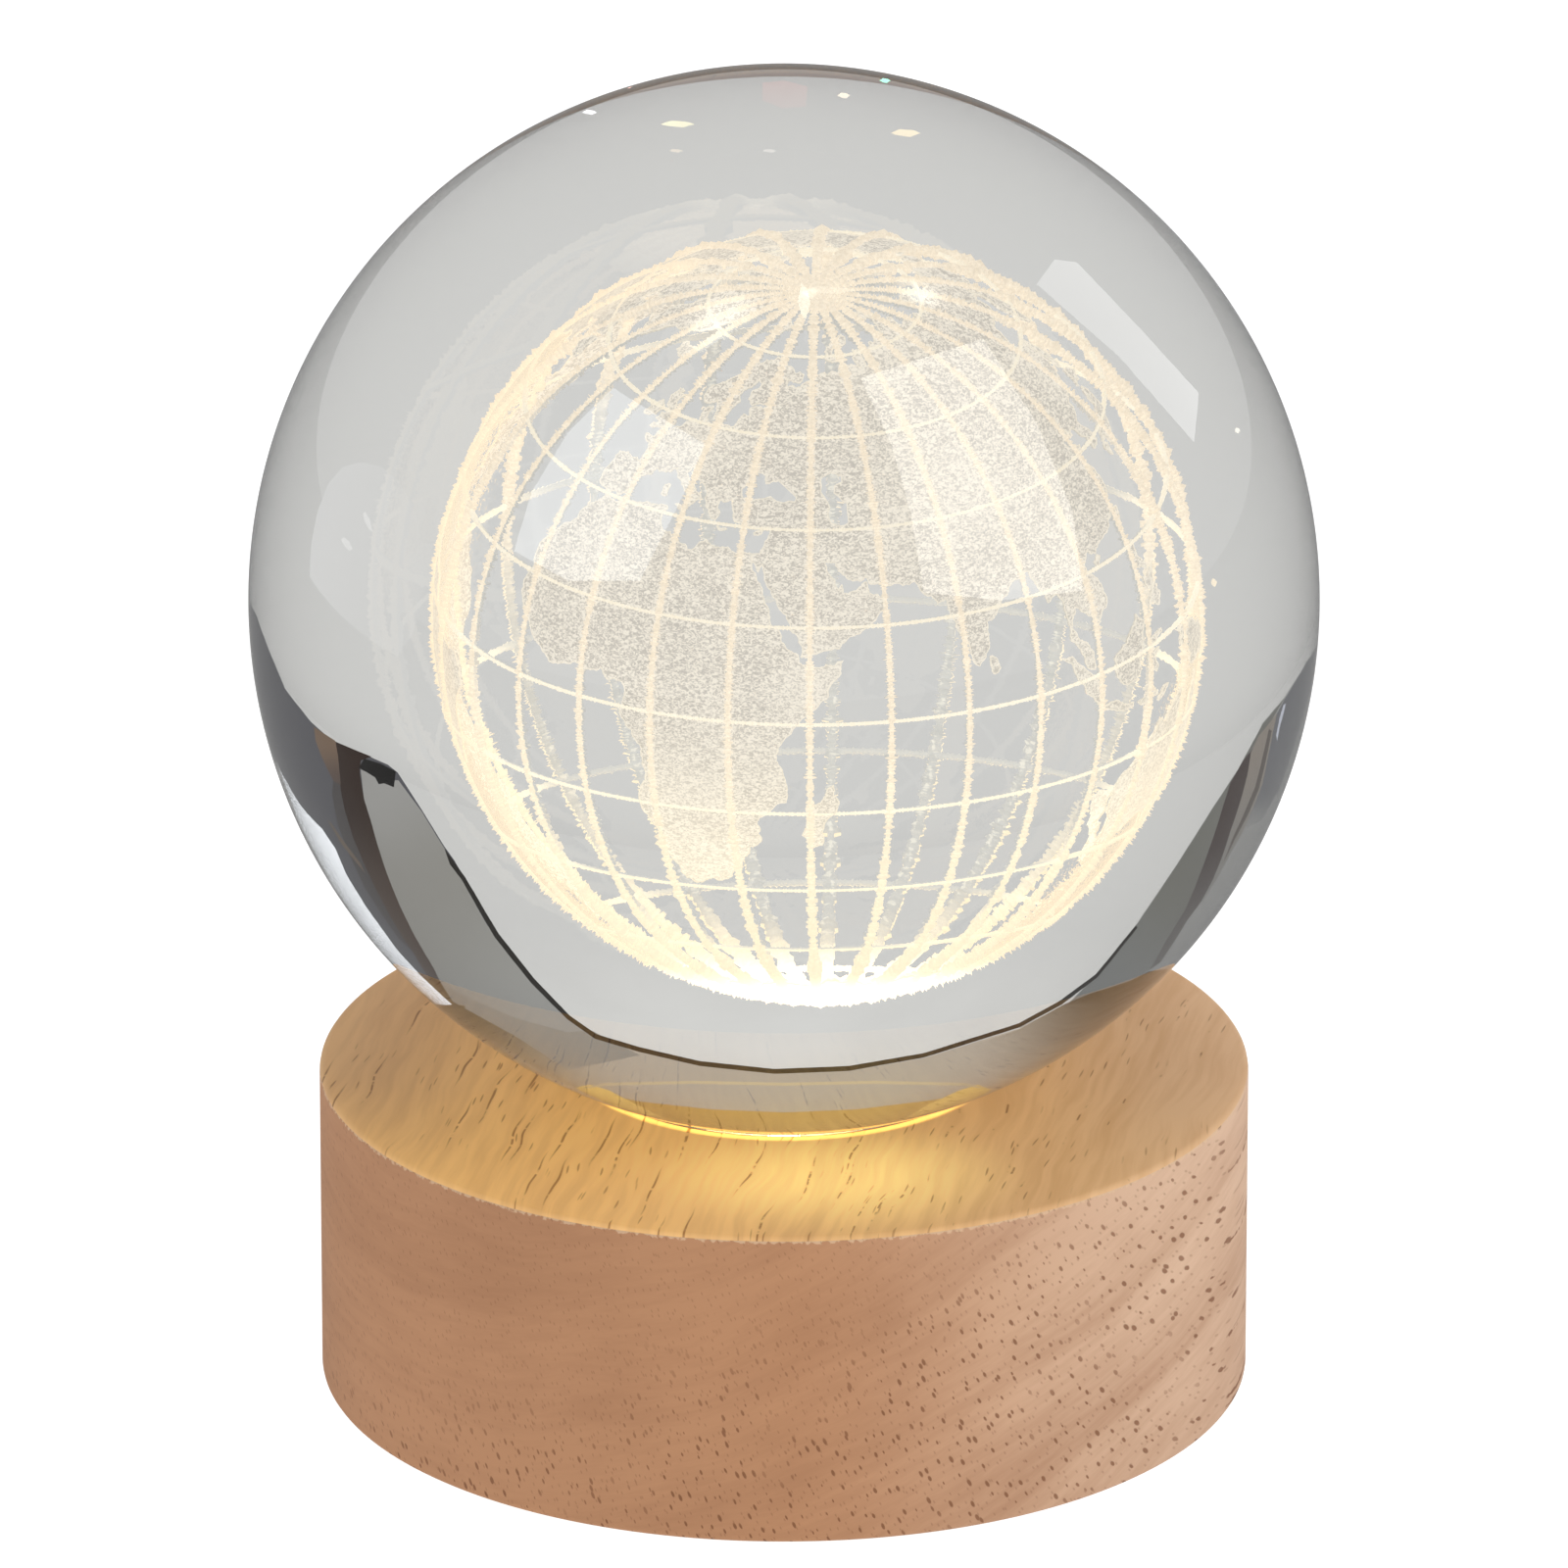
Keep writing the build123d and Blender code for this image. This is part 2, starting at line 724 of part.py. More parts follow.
print(f"base {2 * base_radius:.2f} mm across, {base_top:.2f} mm high")
print(f"ball centre at {ball_z:.2f} mm, top at {ball_z + ball_radius:.2f} mm")
print(f"hinge line at y {hinge_y:.3f}, z {hinge_z:.3f}; foot at {foot_spread_x}, {foot_y:.3f}")
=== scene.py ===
"""The looks of a crystal ball lamp: a glass ball with a globe engraved inside it, on a lit wooden base.

Lengths are metres and angles are degrees, unless a name says otherwise. The front of the lamp is -Y.
"""

import logging
import random
from collections.abc import Callable, Iterator, Sequence
from contextlib import contextmanager
from dataclasses import dataclass, field
from enum import Enum
from math import atan, cos, hypot, pi, radians, sin, sqrt, tan

import bpy
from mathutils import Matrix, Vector


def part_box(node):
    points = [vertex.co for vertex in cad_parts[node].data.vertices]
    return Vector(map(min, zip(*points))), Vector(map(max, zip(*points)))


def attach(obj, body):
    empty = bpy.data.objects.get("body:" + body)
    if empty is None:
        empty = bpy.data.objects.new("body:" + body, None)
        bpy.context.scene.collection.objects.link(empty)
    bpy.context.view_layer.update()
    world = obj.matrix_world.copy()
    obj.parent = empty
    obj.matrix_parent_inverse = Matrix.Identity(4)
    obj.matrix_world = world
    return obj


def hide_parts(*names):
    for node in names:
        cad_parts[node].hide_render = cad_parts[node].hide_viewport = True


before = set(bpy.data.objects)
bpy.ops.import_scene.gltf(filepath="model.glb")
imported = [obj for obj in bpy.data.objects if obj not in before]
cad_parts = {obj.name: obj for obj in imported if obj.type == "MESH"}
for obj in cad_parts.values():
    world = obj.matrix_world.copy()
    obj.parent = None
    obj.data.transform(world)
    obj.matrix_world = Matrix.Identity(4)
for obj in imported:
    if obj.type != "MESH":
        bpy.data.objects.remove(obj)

log = logging.getLogger("crystal_ball_lamp")

MM = 0.001
PER_MM = 1000.0

Colour = tuple[float, float, float]
Point2 = tuple[float, float]
Piece = bpy.types.Object
Material = bpy.types.Material
Socket = bpy.types.NodeSocket


def pairs(*numbers: float) -> tuple[Point2, ...]:
    """Return numbers as pairs, for an outline's points."""
    return tuple(zip(numbers[::2], numbers[1::2], strict=True))


# Bench work: selecting, editing and settling meshes


def deselect_all() -> None:
    """Leave edit mode and deselect every object."""
    if bpy.context.object and bpy.context.object.mode != "OBJECT":
        bpy.ops.object.mode_set(mode="OBJECT")
    bpy.ops.object.select_all(action="DESELECT")


def take(*pieces: Piece) -> Piece:
    """Select these pieces alone and make the first one active.

    Args:
        pieces: the objects to select.

    Returns:
        The active object.
    """
    deselect_all()
    for piece in pieces:
        piece.select_set(True)
    bpy.context.view_layer.objects.active = pieces[0]
    return pieces[0]


@contextmanager
def editing(piece: Piece, mode: str = "FACE", everything: bool = False) -> Iterator[None]:
    """Hold a piece in edit mode.

    Args:
        piece: the mesh object to edit.
        mode: what is selected, VERT, EDGE or FACE.
        everything: whether all of the mesh is selected first.
    """
    take(piece)
    bpy.ops.object.mode_set(mode="EDIT")
    bpy.ops.mesh.select_mode(type=mode)
    if everything:
        bpy.ops.mesh.select_all(action="SELECT")
    yield
    bpy.ops.object.mode_set(mode="OBJECT")


def pick_faces(piece: Piece, test: Callable[[Vector, Vector], bool]) -> None:
    """Select the faces of a piece that a test accepts, and nothing else.

    Args:
        piece: the mesh object.
        test: takes a face's centre and normal.
    """
    mesh = piece.data
    for vertex in mesh.vertices:
        vertex.select = False
    for edge in mesh.edges:
        edge.select = False
    for face in mesh.polygons:
        face.select = test(face.center, face.normal)


def pick_edges(piece: Piece, test: Callable[[Vector, Vector], bool]) -> None:
    """Select the edges of a piece that a test accepts, and nothing else.

    Args:
        piece: the mesh object.
        test: takes an edge's two end points.
    """
    mesh = piece.data
    for vertex in mesh.vertices:
        vertex.select = False
    for face in mesh.polygons:
        face.select = False
    for edge in mesh.edges:
        ends = [mesh.vertices[index].co for index in edge.vertices]
        edge.select = test(ends[0], ends[1])


def settle(piece: Piece) -> Piece:
    """Move a piece's place, turn and scale into its mesh and return the piece."""
    take(piece)
    bpy.ops.object.transform_apply(location=True, rotation=True, scale=True)
    return piece


def join(name: str, pieces: Sequence[Piece]) -> Piece:
    """Join pieces into one object.

    Args:
        name: the name of the joined object.
        pieces: the objects to join.

    Returns:
        The joined object.
    """
    joined = take(*pieces)
    if len(pieces) > 1:
        bpy.ops.object.join()
    joined.name = name
    joined.data.name = name
    return joined


def apply_modifier(piece: Piece, kind: str, **settings: object) -> None:
    """Add a modifier with its settings and apply it.

    Args:
        piece: the mesh object.
        kind: the modifier's type.
        settings: values for its properties.
    """
    modifier = piece.modifiers.new(kind.lower(), kind)
    for key, value in settings.items():
        setattr(modifier, key, value)
    take(piece)
    bpy.ops.object.modifier_apply(modifier=modifier.name)


def extrude_upwards(rise: float) -> None:
    """Extrude the picked faces upwards, or downwards where the rise is negative."""
    bpy.ops.mesh.extrude_region_move(TRANSFORM_OT_translate={"value": (0.0, 0.0, rise)})


def smooth(piece: Piece, angle: float = 35.0) -> None:
    """Shade a piece smooth, apart from edges sharper than an angle in degrees."""
    take(piece)
    bpy.ops.object.shade_smooth_by_angle(angle=radians(angle))


def dress(piece: Piece, *materials: Material) -> None:
    """Give a piece these materials alone.

    Args:
        piece: the mesh object, which may be a CAD node.
        materials: the materials, in slot order.
    """
    piece.data.materials.clear()
    for material in materials:
        piece.data.materials.append(material)


def install(piece: Piece, body: str, slot: str, *nodes: str) -> None:
    """Attach a finished piece to the body that it moves with, and hide the CAD nodes that it replaces.

    Args:
        piece: the finished piece.
        body: the CAD body that it moves with.
        slot: the material slot of its finish; not used.
        nodes: the CAD nodes that it replaces.
    """
    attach(piece, body)
    if nodes:
        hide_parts(*nodes)
    log.info("%s: %d faces", piece.name, len(piece.data.polygons))


# Material graph


class Graph:
    """The node tree of one material, with short ways to add and join its nodes."""

    def __init__(self, name: str) -> None:
        """Start an empty material.

        Args:
            name: the material's name.
        """
        self.material = bpy.data.materials.new(name)
        self.material.use_nodes = True
        self.tree = self.material.node_tree
        self.tree.nodes.clear()
        self.output = self.tree.nodes.new("ShaderNodeOutputMaterial")

    def add(self, kind: str, **settings: object) -> bpy.types.Node:
        """Add a node.

        Args:
            kind: the node's type, without its ShaderNode prefix.
            settings: values for its properties.

        Returns:
            The new node.
        """
        node = self.tree.nodes.new("ShaderNode" + kind)
        for key, value in settings.items():
            setattr(node, key, value)
        return node

    def feed(self, socket: Socket, source: object) -> None:
        """Link a source to a socket, or set the socket to a plain value."""
        if isinstance(source, Socket):
            self.tree.links.new(source, socket)
        elif isinstance(source, tuple) and len(source) == 3 and socket.type == "RGBA":
            socket.default_value = (*source, 1.0)
        else:
            socket.default_value = source

    def place(
        self, scale: Colour = (1.0, 1.0, 1.0), turn: Colour = (0.0, 0.0, 0.0),
        centre: Colour = (0.0, 0.0, 0.0),
    ) -> Socket:
        """Return the object's own coordinates in millimetres, about a centre.

        Args:
            scale: factors along the turned axes.
            turn: the turn about X, Y and Z, in degrees.
            centre: the place in metres that becomes the origin.

        Returns:
            The vector socket.
        """
        here = self.add("TexCoord").outputs["Object"]
        centred = self.add("Mapping")
        self.feed(centred.inputs["Vector"], here)
        centred.inputs["Location"].default_value = [-PER_MM * part for part in centre]
        centred.inputs["Scale"].default_value = (PER_MM, PER_MM, PER_MM)
        turned = self.add("Mapping")
        self.feed(turned.inputs["Vector"], centred.outputs["Vector"])
        turned.inputs["Rotation"].default_value = [radians(angle) for angle in turn]
        scaled = self.add("Mapping")
        self.feed(scaled.inputs["Vector"], turned.outputs["Vector"])
        scaled.inputs["Scale"].default_value = scale
        return scaled.outputs["Vector"]

    def noise(
        self, vector: Socket, scale: float, detail: float = 2.0, roughness: float = 0.5,
        distortion: float = 0.0,
    ) -> Socket:
        """Return a noise pattern from 0 to 1.

        Args:
            vector: where the pattern is read.
            scale: patches per unit of the vector.
            detail: how many finer layers it has.
            roughness: how strong the finer layers are.
            distortion: how much it is warped.

        Returns:
            The pattern's value socket.
        """
        node = self.add("TexNoise")
        self.feed(node.inputs["Vector"], vector)
        node.inputs["Scale"].default_value = scale
        node.inputs["Detail"].default_value = detail
        node.inputs["Roughness"].default_value = roughness
        node.inputs["Distortion"].default_value = distortion
        return node.outputs["Fac"]

    def cells(self, vector: Socket, scale: float, dimensions: str = "3D") -> Socket:
        """Return the distance to the nearest cell point.

        Args:
            vector: where the pattern is read.
            scale: cells per unit of the vector.
            dimensions: 3D, or 2D for a pattern that ignores the vector's Z.

        Returns:
            The distance socket.
        """
        node = self.add("TexVoronoi", feature="F1", voronoi_dimensions=dimensions)
        self.feed(node.inputs["Vector"], vector)
        node.inputs["Scale"].default_value = scale
        return node.outputs["Distance"]

    def math(self, operation: str, first: object, second: object = 0.0, clamp: bool = False) -> Socket:
        """Return the result of a math node.

        Args:
            operation: the operation's name.
            first: the first value or socket.
            second: the second value or socket.
            clamp: whether the result stays from 0 to 1.

        Returns:
            The value socket.
        """
        node = self.add("Math", operation=operation, use_clamp=clamp)
        self.feed(node.inputs[0], first)
        self.feed(node.inputs[1], second)
        return node.outputs[0]

    def times(self, first: object, second: object, clamp: bool = False) -> Socket:
        """Return the product of two values or sockets."""
        return self.math("MULTIPLY", first, second, clamp)

    def plus(self, first: object, second: object, clamp: bool = False) -> Socket:
        """Return the sum of two values or sockets."""
        return self.math("ADD", first, second, clamp)

    def minus(self, first: object, second: object, clamp: bool = False) -> Socket:
        """Return the first value or socket less the second."""
        return self.math("SUBTRACT", first, second, clamp)

    def span(
        self, value: object, low: float, high: float, out_low: float = 0.0, out_high: float = 1.0
    ) -> Socket:
        """Return a value moved smoothly from one span to another and held at its ends.

        Args:
            value: the value socket.
            low: the value that gives out_low.
            high: the value that gives out_high.
            out_low: the result at the low end.
            out_high: the result at the high end.

        Returns:
            The value socket.
        """
        node = self.add("MapRange", interpolation_type="SMOOTHSTEP")
        self.feed(node.inputs["Value"], value)
        node.inputs["From Min"].default_value = low
        node.inputs["From Max"].default_value = high
        node.inputs["To Min"].default_value = out_low
        node.inputs["To Max"].default_value = out_high
        return node.outputs["Result"]

    def blend(self, factor: object, first: object, second: object, mode: str = "MIX") -> Socket:
        """Return a mix of two colours.

        Args:
            factor: how much of the second colour shows.
            first: the first colour or socket.
            second: the second colour or socket.
            mode: the blend mode.

        Returns:
            The colour socket.
        """
        node = self.add("Mix", data_type="RGBA", blend_type=mode)
        self.feed(node.inputs["Factor"], factor)
        self.feed(node.inputs[6], first)
        self.feed(node.inputs[7], second)
        return node.outputs[2]

    def axes(self, vector: Socket) -> tuple[Socket, ...]:
        """Return the X, Y and Z value sockets of a vector."""
        node = self.add("SeparateXYZ")
        self.feed(node.inputs[0], vector)
        return tuple(node.outputs)

    def vector(self, x: object, y: object, z: object) -> Socket:
        """Return a vector made of three values or sockets."""
        node = self.add("CombineXYZ")
        for socket, source in zip(node.inputs, (x, y, z)):
            self.feed(socket, source)
        return node.outputs[0]

    def length(self, vector: Socket) -> Socket:
        """Return the length of a vector."""
        node = self.add("VectorMath", operation="LENGTH")
        self.feed(node.inputs[0], vector)
        return node.outputs["Value"]

    def bump(self, height: Socket, strength: float, distance: float) -> Socket:
        """Return a bumped normal.

        Args:
            height: the pattern of the bumps.
            strength: how strong they are.
            distance: how high they are.

        Returns:
            The normal socket.
        """
        node = self.add("Bump")
        node.inputs["Strength"].default_value = strength
        node.inputs["Distance"].default_value = distance
        self.feed(node.inputs["Height"], height)
        return node.outputs["Normal"]

    def surface(self, **sockets: object) -> Material:
        """Finish the material with one principled shader.

        Args:
            sockets: values or sources by socket name, with _ for a space.

        Returns:
            The finished material.
        """
        shader = self.add("BsdfPrincipled")
        for key, source in sockets.items():
            self.feed(shader.inputs[key.replace("_", " ")], source)
        self.feed(self.output.inputs["Surface"], shader.outputs[0])
        return self.material


# Finishes


@dataclass(frozen=True)
class CrystalGlass:
    """Clear optical glass with a grey cast and the faint wipe marks of a polished ball."""

    tint: Colour = (0.560, 0.560, 0.545)
    refraction: float = 1.52
    wipe_marks_per_mm: float = 0.05
    least_roughness: float = 0.0
    most_roughness: float = 0.004

    def material(self) -> Material:
        """Return the glass material."""
        graph = Graph("crystal_glass")
        marks = graph.noise(graph.place(scale=(1.0, 1.0, 0.4)), self.wipe_marks_per_mm, 3.0)
        film = graph.span(marks, 0.45, 0.75, self.least_roughness, self.most_roughness)
        return graph.surface(
            Base_Color=self.tint, Transmission_Weight=1.0, IOR=self.refraction, Roughness=film
        )


@dataclass(frozen=True)
class Glint:
    """A painted glint: a spot of the engraving that is painted brighter, where it catches the light."""

    longitude: float
    latitude: float
    size: float
    strength: float


# Painted glints on the engraving, by longitude, latitude, size and strength.
GLINTS = (
    Glint(10.0, 88.6, 0.40, 0.45), Glint(-30.0, 74.0, 1.5, 0.35), Glint(-18.0, 69.0, 1.1, 0.35),
    Glint(150.0, 72.0, 1.0, 0.5),
)


@dataclass(frozen=True)
class Engraving:
    """Tiny glowing cracks in the glass, as fine lines or as wrinkled sheets.

    The glow is painted light: emission that stands in for the diodes' light scattered by the cracks. It
    comes from below, so the south end is painted the brightest. The inner side of a line is painted dim,
    apart from near the limb, because the glass in front of it scatters its light.
    """

    centre: Vector
    radius: float
    # Colours of the painted glow: foot is the warm south end, edge the painted highlight near the limb,
    # inner and inner_gap the painted shade of a line's inner side.
    crack: Colour = (0.99, 0.882, 0.72)
    gap: Colour = (0.89, 0.78, 0.625)
    inner: Colour = (0.775, 0.775, 0.745)
    bead: Colour = (0.98, 0.95, 0.84)
    foot: Colour = (1.0, 0.87, 0.60)
    edge: Colour = (1.0, 0.84, 0.63)
    strength: float = 1.26
    inner_gap: Colour = (0.775, 0.775, 0.745)
    inner_share: float = 0.68
    foot_strength: float = 2.4
    grains_per_mm: float = 5.0
    stretch: Colour = (1.0, 1.0, 1.0)
    low_grain: float = 0.40
    high_grain: float = 0.60
    limb_way: Colour = (0.0, -0.932, 0.363)
    limb_shift: float = 0.24
    skin: float = 0.06
    bead_depth: float = 0.125
    rim_strength: float = 1.24
    foot_share: float = 1.06
    north_share: float = 0.88
    rim_share: float = 1.0
    curl: float = 0.6
    facing_longitude: float = 45.5
    scatter: float = 0.35

    def material(self, name: str) -> Material:
        """Return the material.

        Args:
            name: the material's name.

        Returns:
            The finished material.
        """
        graph = Graph(name)
        here = graph.place(centre=tuple(self.centre))
        grains = graph.noise(
            graph.place(centre=tuple(self.centre), scale=self.stretch),
            self.grains_per_mm, 3.0, 0.65, self.curl,
        )
        patches = graph.noise(here, 0.18, 2.0)
        reach = self.radius * PER_MM
        height = graph.axes(here)[2]
        # Painted light: brighter and warmer towards the south end, nearest the diodes.
        foot = graph.span(height, -reach * 0.88, -reach * 1.0)
        warm = graph.span(height, reach * 0.1, -reach * 0.8)
        out = graph.length(here)
        outer = graph.span(out, reach + self.skin * 0.2, reach + self.skin)
        depth = graph.add("VectorMath", operation="DOT_PRODUCT")
        graph.feed(depth.inputs[0], here)
        depth.inputs[1].default_value = self.limb_way
        edge_on = graph.plus(depth.outputs["Value"], reach * self.limb_shift)
        limb = graph.span(graph.math("ABSOLUTE", edge_on), reach * 0.55, reach * 0.38)
        shown = graph.math("MAXIMUM", outer, limb)
        relief = graph.math(
            "ADD", graph.span(grains, self.low_grain, self.high_grain),
            graph.span(patches, 0.35, 0.75, -0.08, 0.25), clamp=True,
        )
        colour = graph.blend(relief, self.gap, self.crack)
        colour = graph.blend(graph.times(warm, 0.5), colour, self.foot)
        middle = graph.span(out, reach - self.bead_depth, reach - self.bead_depth * 1.4)
        beads = graph.times(graph.span(graph.noise(here, 3.2, 1.0), 0.50, 0.60), middle)
        beads = graph.times(beads, 0.50)
        # Painted shade: a line's inner side is greyer and glows less, apart from near the limb.
        inner = graph.blend(relief, self.inner_gap, self.inner)
        colour = graph.blend(shown, graph.blend(beads, inner, self.bead), colour)
        # Painted light: the glow is emission that stands in for the diodes' light in the cracks.
        glow = graph.span(foot, 0.0, 1.0, self.strength, self.foot_strength)
        glow = graph.times(glow, graph.span(warm, 0.0, 1.0, 1.0, self.foot_share))
        north = graph.span(height, -reach * 0.4, reach * 0.65, 1.0, self.north_share)
        glow = graph.times(glow, north)
        # Painted highlight: brighter and warmer near the limb seen from the front, on the low and left
        # parts.
        low_or_left = graph.math("MAXIMUM", graph.span(graph.axes(here)[0], 0.0, -reach * 0.6), warm)
        from_limb = graph.math("ABSOLUTE", edge_on)
        near_limb = graph.span(from_limb, reach * 0.42, reach * 0.22, 0.0, self.rim_share)
        rim = graph.times(near_limb, low_or_left)
        colour = graph.blend(rim, colour, self.edge)
        short = graph.times(rim, graph.minus(self.rim_strength, glow))
        glow = graph.plus(glow, graph.math("MAXIMUM", short, 0.0))
        share = graph.math("MAXIMUM", shown, graph.times(beads, 0.8))
        glow = graph.times(glow, graph.span(share, 0.0, 1.0, self.inner_share, 1.0))
        # Painted glints.
        for glint in GLINTS:
            glow = graph.plus(glow, self._glint(graph, here, glint))
        albedo = graph.blend(1.0, colour, (self.scatter,) * 3, "MULTIPLY")
        return graph.surface(
            Base_Color=albedo, Roughness=1.0, Specular_IOR_Level=0.0, Emission_Color=colour,
            Emission_Strength=glow,
        )

    def _glint(self, graph: Graph, here: Socket, glint: Glint) -> Socket:
        """Return the extra glow of a glint.

        Args:
            graph: the material's graph.
            here: the place on the globe, in millimetres.
            glint: the glint.

        Returns:
            The glow's value socket.
        """
        turn = radians(glint.longitude - self.facing_longitude - 90.0)
        tilt = radians(glint.latitude)
        spot = Vector((cos(tilt) * cos(turn), cos(tilt) * sin(turn), sin(tilt))) * self.radius * PER_MM
        away = graph.add("VectorMath", operation="DISTANCE")
        graph.feed(away.inputs[0], here)
        away.inputs[1].default_value = spot
        return graph.span(away.outputs["Value"], glint.size * 1.8, glint.size * 0.3, 0.0, glint.strength)


@dataclass(frozen=True)
class LimbHaze:
    """The faint cloud of cracks in the globe's shell, painted as a glow where it is seen edge-on from the
    front.
    """

    centre: Vector
    radius: float
    colour: Colour = (1.0, 0.84, 0.63)
    thin: Colour = (0.88, 0.77, 0.60)
    strength: float = 1.18
    north_share: float = 0.90
    grains_per_mm: float = 5.0
    limb_way: Colour = (0.0, -0.932, 0.363)
    limb_shift: float = 0.24

    def material(self, name: str) -> Material:
        """Return the material.

        Args:
            name: the material's name.

        Returns:
            The finished material.
        """
        graph = Graph(name)
        here = graph.place(centre=tuple(self.centre))
        x, _, z = graph.axes(here)
        reach = self.radius * PER_MM
        depth = graph.add("VectorMath", operation="DOT_PRODUCT")
        graph.feed(depth.inputs[0], here)
        depth.inputs[1].default_value = self.limb_way
        from_limb = graph.plus(depth.outputs["Value"], reach * self.limb_shift)
        edge_on = graph.math("DIVIDE", graph.math("ABSOLUTE", from_limb), reach)
        # Painted glow along the limb seen from the front: on the left, the lower right and near the top.
        left = graph.span(x, -reach * 0.25, -reach * 0.70)
        right = graph.math(
            "MULTIPLY", graph.span(x, reach * 0.20, reach * 0.60),
            graph.span(z, reach * 0.15, -reach * 0.25),
        )
        top = graph.math(
            "MULTIPLY", graph.span(x, reach * 0.45, -reach * 0.2), graph.span(z, reach * 0.6, reach * 0.85)
        )
        where = graph.math("MAXIMUM", graph.math("MAXIMUM", left, right), graph.times(top, 0.7))
        grains = graph.noise(here, self.grains_per_mm, 2.0, 0.7)
        width = graph.times(where, graph.span(grains, 0.3, 0.7, 0.15, 0.37))
        cover = graph.span(graph.minus(edge_on, width), 0.03, -0.06)
        cover = graph.times(cover, graph.span(grains, 0.3, 0.6, 0.50, 0.95))
        colour = graph.blend(graph.span(grains, 0.35, 0.65), self.thin, self.colour)
        glow = graph.span(z, reach * 0.35, reach * 0.80, self.strength, self.strength * self.north_share)
        albedo = graph.blend(1.0, colour, (0.35,) * 3, "MULTIPLY")
        return graph.surface(
            Base_Color=albedo, Roughness=1.0, Specular_IOR_Level=0.0, Emission_Color=colour,
            Emission_Strength=glow, Alpha=graph.times(cover, where),
        )


class Cut(Enum):
    """The faces of the turned base, which show the wood differently."""

    PLANED_TOP = "planed_top"
    TURNED_SIDE = "turned_side"
    BORED_RECESS = "bored_recess"


@dataclass(frozen=True)
class Rubberwood:
    """Pale rubberwood: broad growth bands, fine figure, and pores that run along the fibres.

    The fibres run nearly front to back, so the side shows the pores' ends in front and the top their
    length. The growth rings are circles about a pith above and to the left of the base. The side is
    painted darker on the left than on the right, as shade, and the top carries a painted warm glow.
    """

    fibre_turn: float = 11.0
    pith_x: float = -26.0
    pith_z: float = 93.0
    ring_width: float = 9.0
    top_light: Colour = (0.760, 0.455, 0.210)
    top_right_light: Colour = (0.740, 0.470, 0.270)
    top_dark: Colour = (0.600, 0.340, 0.160)
    # Painted shade: the side is darker on the left and lighter on the right, where the key light falls.
    left_light: Colour = (0.540, 0.272, 0.138)
    left_dark: Colour = (0.390, 0.182, 0.088)
    right_light: Colour = (0.720, 0.485, 0.335)
    right_dark: Colour = (0.440, 0.240, 0.140)
    pore: Colour = (0.200, 0.072, 0.026)
    top_pore: Colour = (0.230, 0.085, 0.020)
    # A paler band along the top edge of the side.
    pale_rim: Colour = (0.760, 0.520, 0.330)
    # Painted light on the top: spill is the warm glow from the recess and the ball, pool the greenish pool
    # of light in front.
    spill: Colour = (1.0, 0.92, 0.30)
    pool: Colour = (0.72, 1.0, 0.55)

    def material(self, cut: Cut) -> Material:
        """Return the wood as one cut through it shows.

        Args:
            cut: which faces of the base the material is for.

        Returns:
            The wood material.
        """
        graph = Graph("rubberwood_" + cut.value)
        place = graph.place()
        across, along, up = graph.axes(graph.place(turn=(0.0, 0.0, self.fibre_turn)))
        slow = graph.times(along, 0.1)
        warp = graph.noise(graph.vector(across, slow, up), 0.045, 1.0)
        out = graph.vector(graph.minus(across, self.pith_x), 0.0, graph.minus(up, self.pith_z))
        reach = graph.plus(graph.length(out), graph.times(warp, 7.0))
        ring = graph.math("FRACT", graph.math("DIVIDE", reach, self.ring_width))
        edge = graph.span(ring, 0.86, 1.0)
        band = graph.times(graph.span(ring, 0.1, 0.9), graph.minus(1.0, edge))
        broad = graph.noise(graph.vector(across, slow, up), 0.06, 2.0)
        if cut is Cut.TURNED_SIDE:
            layers = graph.vector(reach, graph.times(across, 0.16), slow)
            figure = graph.noise(layers, 1.3, 4.0, 0.65)
            return self._side(graph, place, across, up, band, figure, broad)
        return self._top(graph, cut, place, across, along, band, broad)

    def _side(
        self, graph: Graph, place: Socket, across: Socket, up: Socket, band: Socket, figure: Socket,
        broad: Socket,
    ) -> Material:
        """Return the turned side, with the ends of the pores as short dark dashes and painted shade on its
        left.

        Args:
            graph: the material's graph.
            place: the place on the wood, in millimetres.
            across: the distance across the fibres.
            up: the height.
            band: the growth bands.
            figure: the fine figure.
            broad: broad patches.

        Returns:
            The material.
        """
        x, _, z = graph.axes(place)
        to_right = graph.span(x, 0.0, 32.0)
        to_foot = graph.minus(graph.times(x, 0.40), z)
        leaning = graph.vector(graph.plus(across, graph.times(up, 0.35)), graph.times(up, 0.45), 0.0)
        ends = graph.cells(leaning, 1.25, "2D")
        small_ends = graph.cells(leaning, 1.9, "2D")
        thin_out = graph.noise(place, 0.12, 1.0)
        much = graph.times(graph.span(to_foot, -24.0, -9.0), graph.span(thin_out, 0.25, 0.50))
        sizes = graph.span(graph.noise(place, 0.9, 1.0), 0.32, 0.68, 0.07, 0.19)
        dots = graph.minus(1.0, graph.span(graph.math("DIVIDE", ends, sizes), 0.6, 1.1))
        fine = graph.minus(1.0, graph.span(small_ends, 0.07, 0.15))
        pores = graph.math("MAXIMUM", graph.times(dots, much), graph.times(fine, 0.35))
        bands = graph.times(band, graph.span(to_right, 0.0, 1.0, 0.16, 0.32))
        grain = graph.plus(bands, graph.span(figure, 0.3, 0.7, 0.0, 0.26))
        grain = graph.plus(grain, graph.span(broad, 0.3, 0.7, -0.20, 0.20), clamp=True)
        # Painted shade: darker on the left, lighter on the right.
        light = graph.blend(to_right, self.left_light, self.right_light)
        dark = graph.blend(to_right, self.left_dark, self.right_dark)
        colour = graph.blend(grain, light, dark)
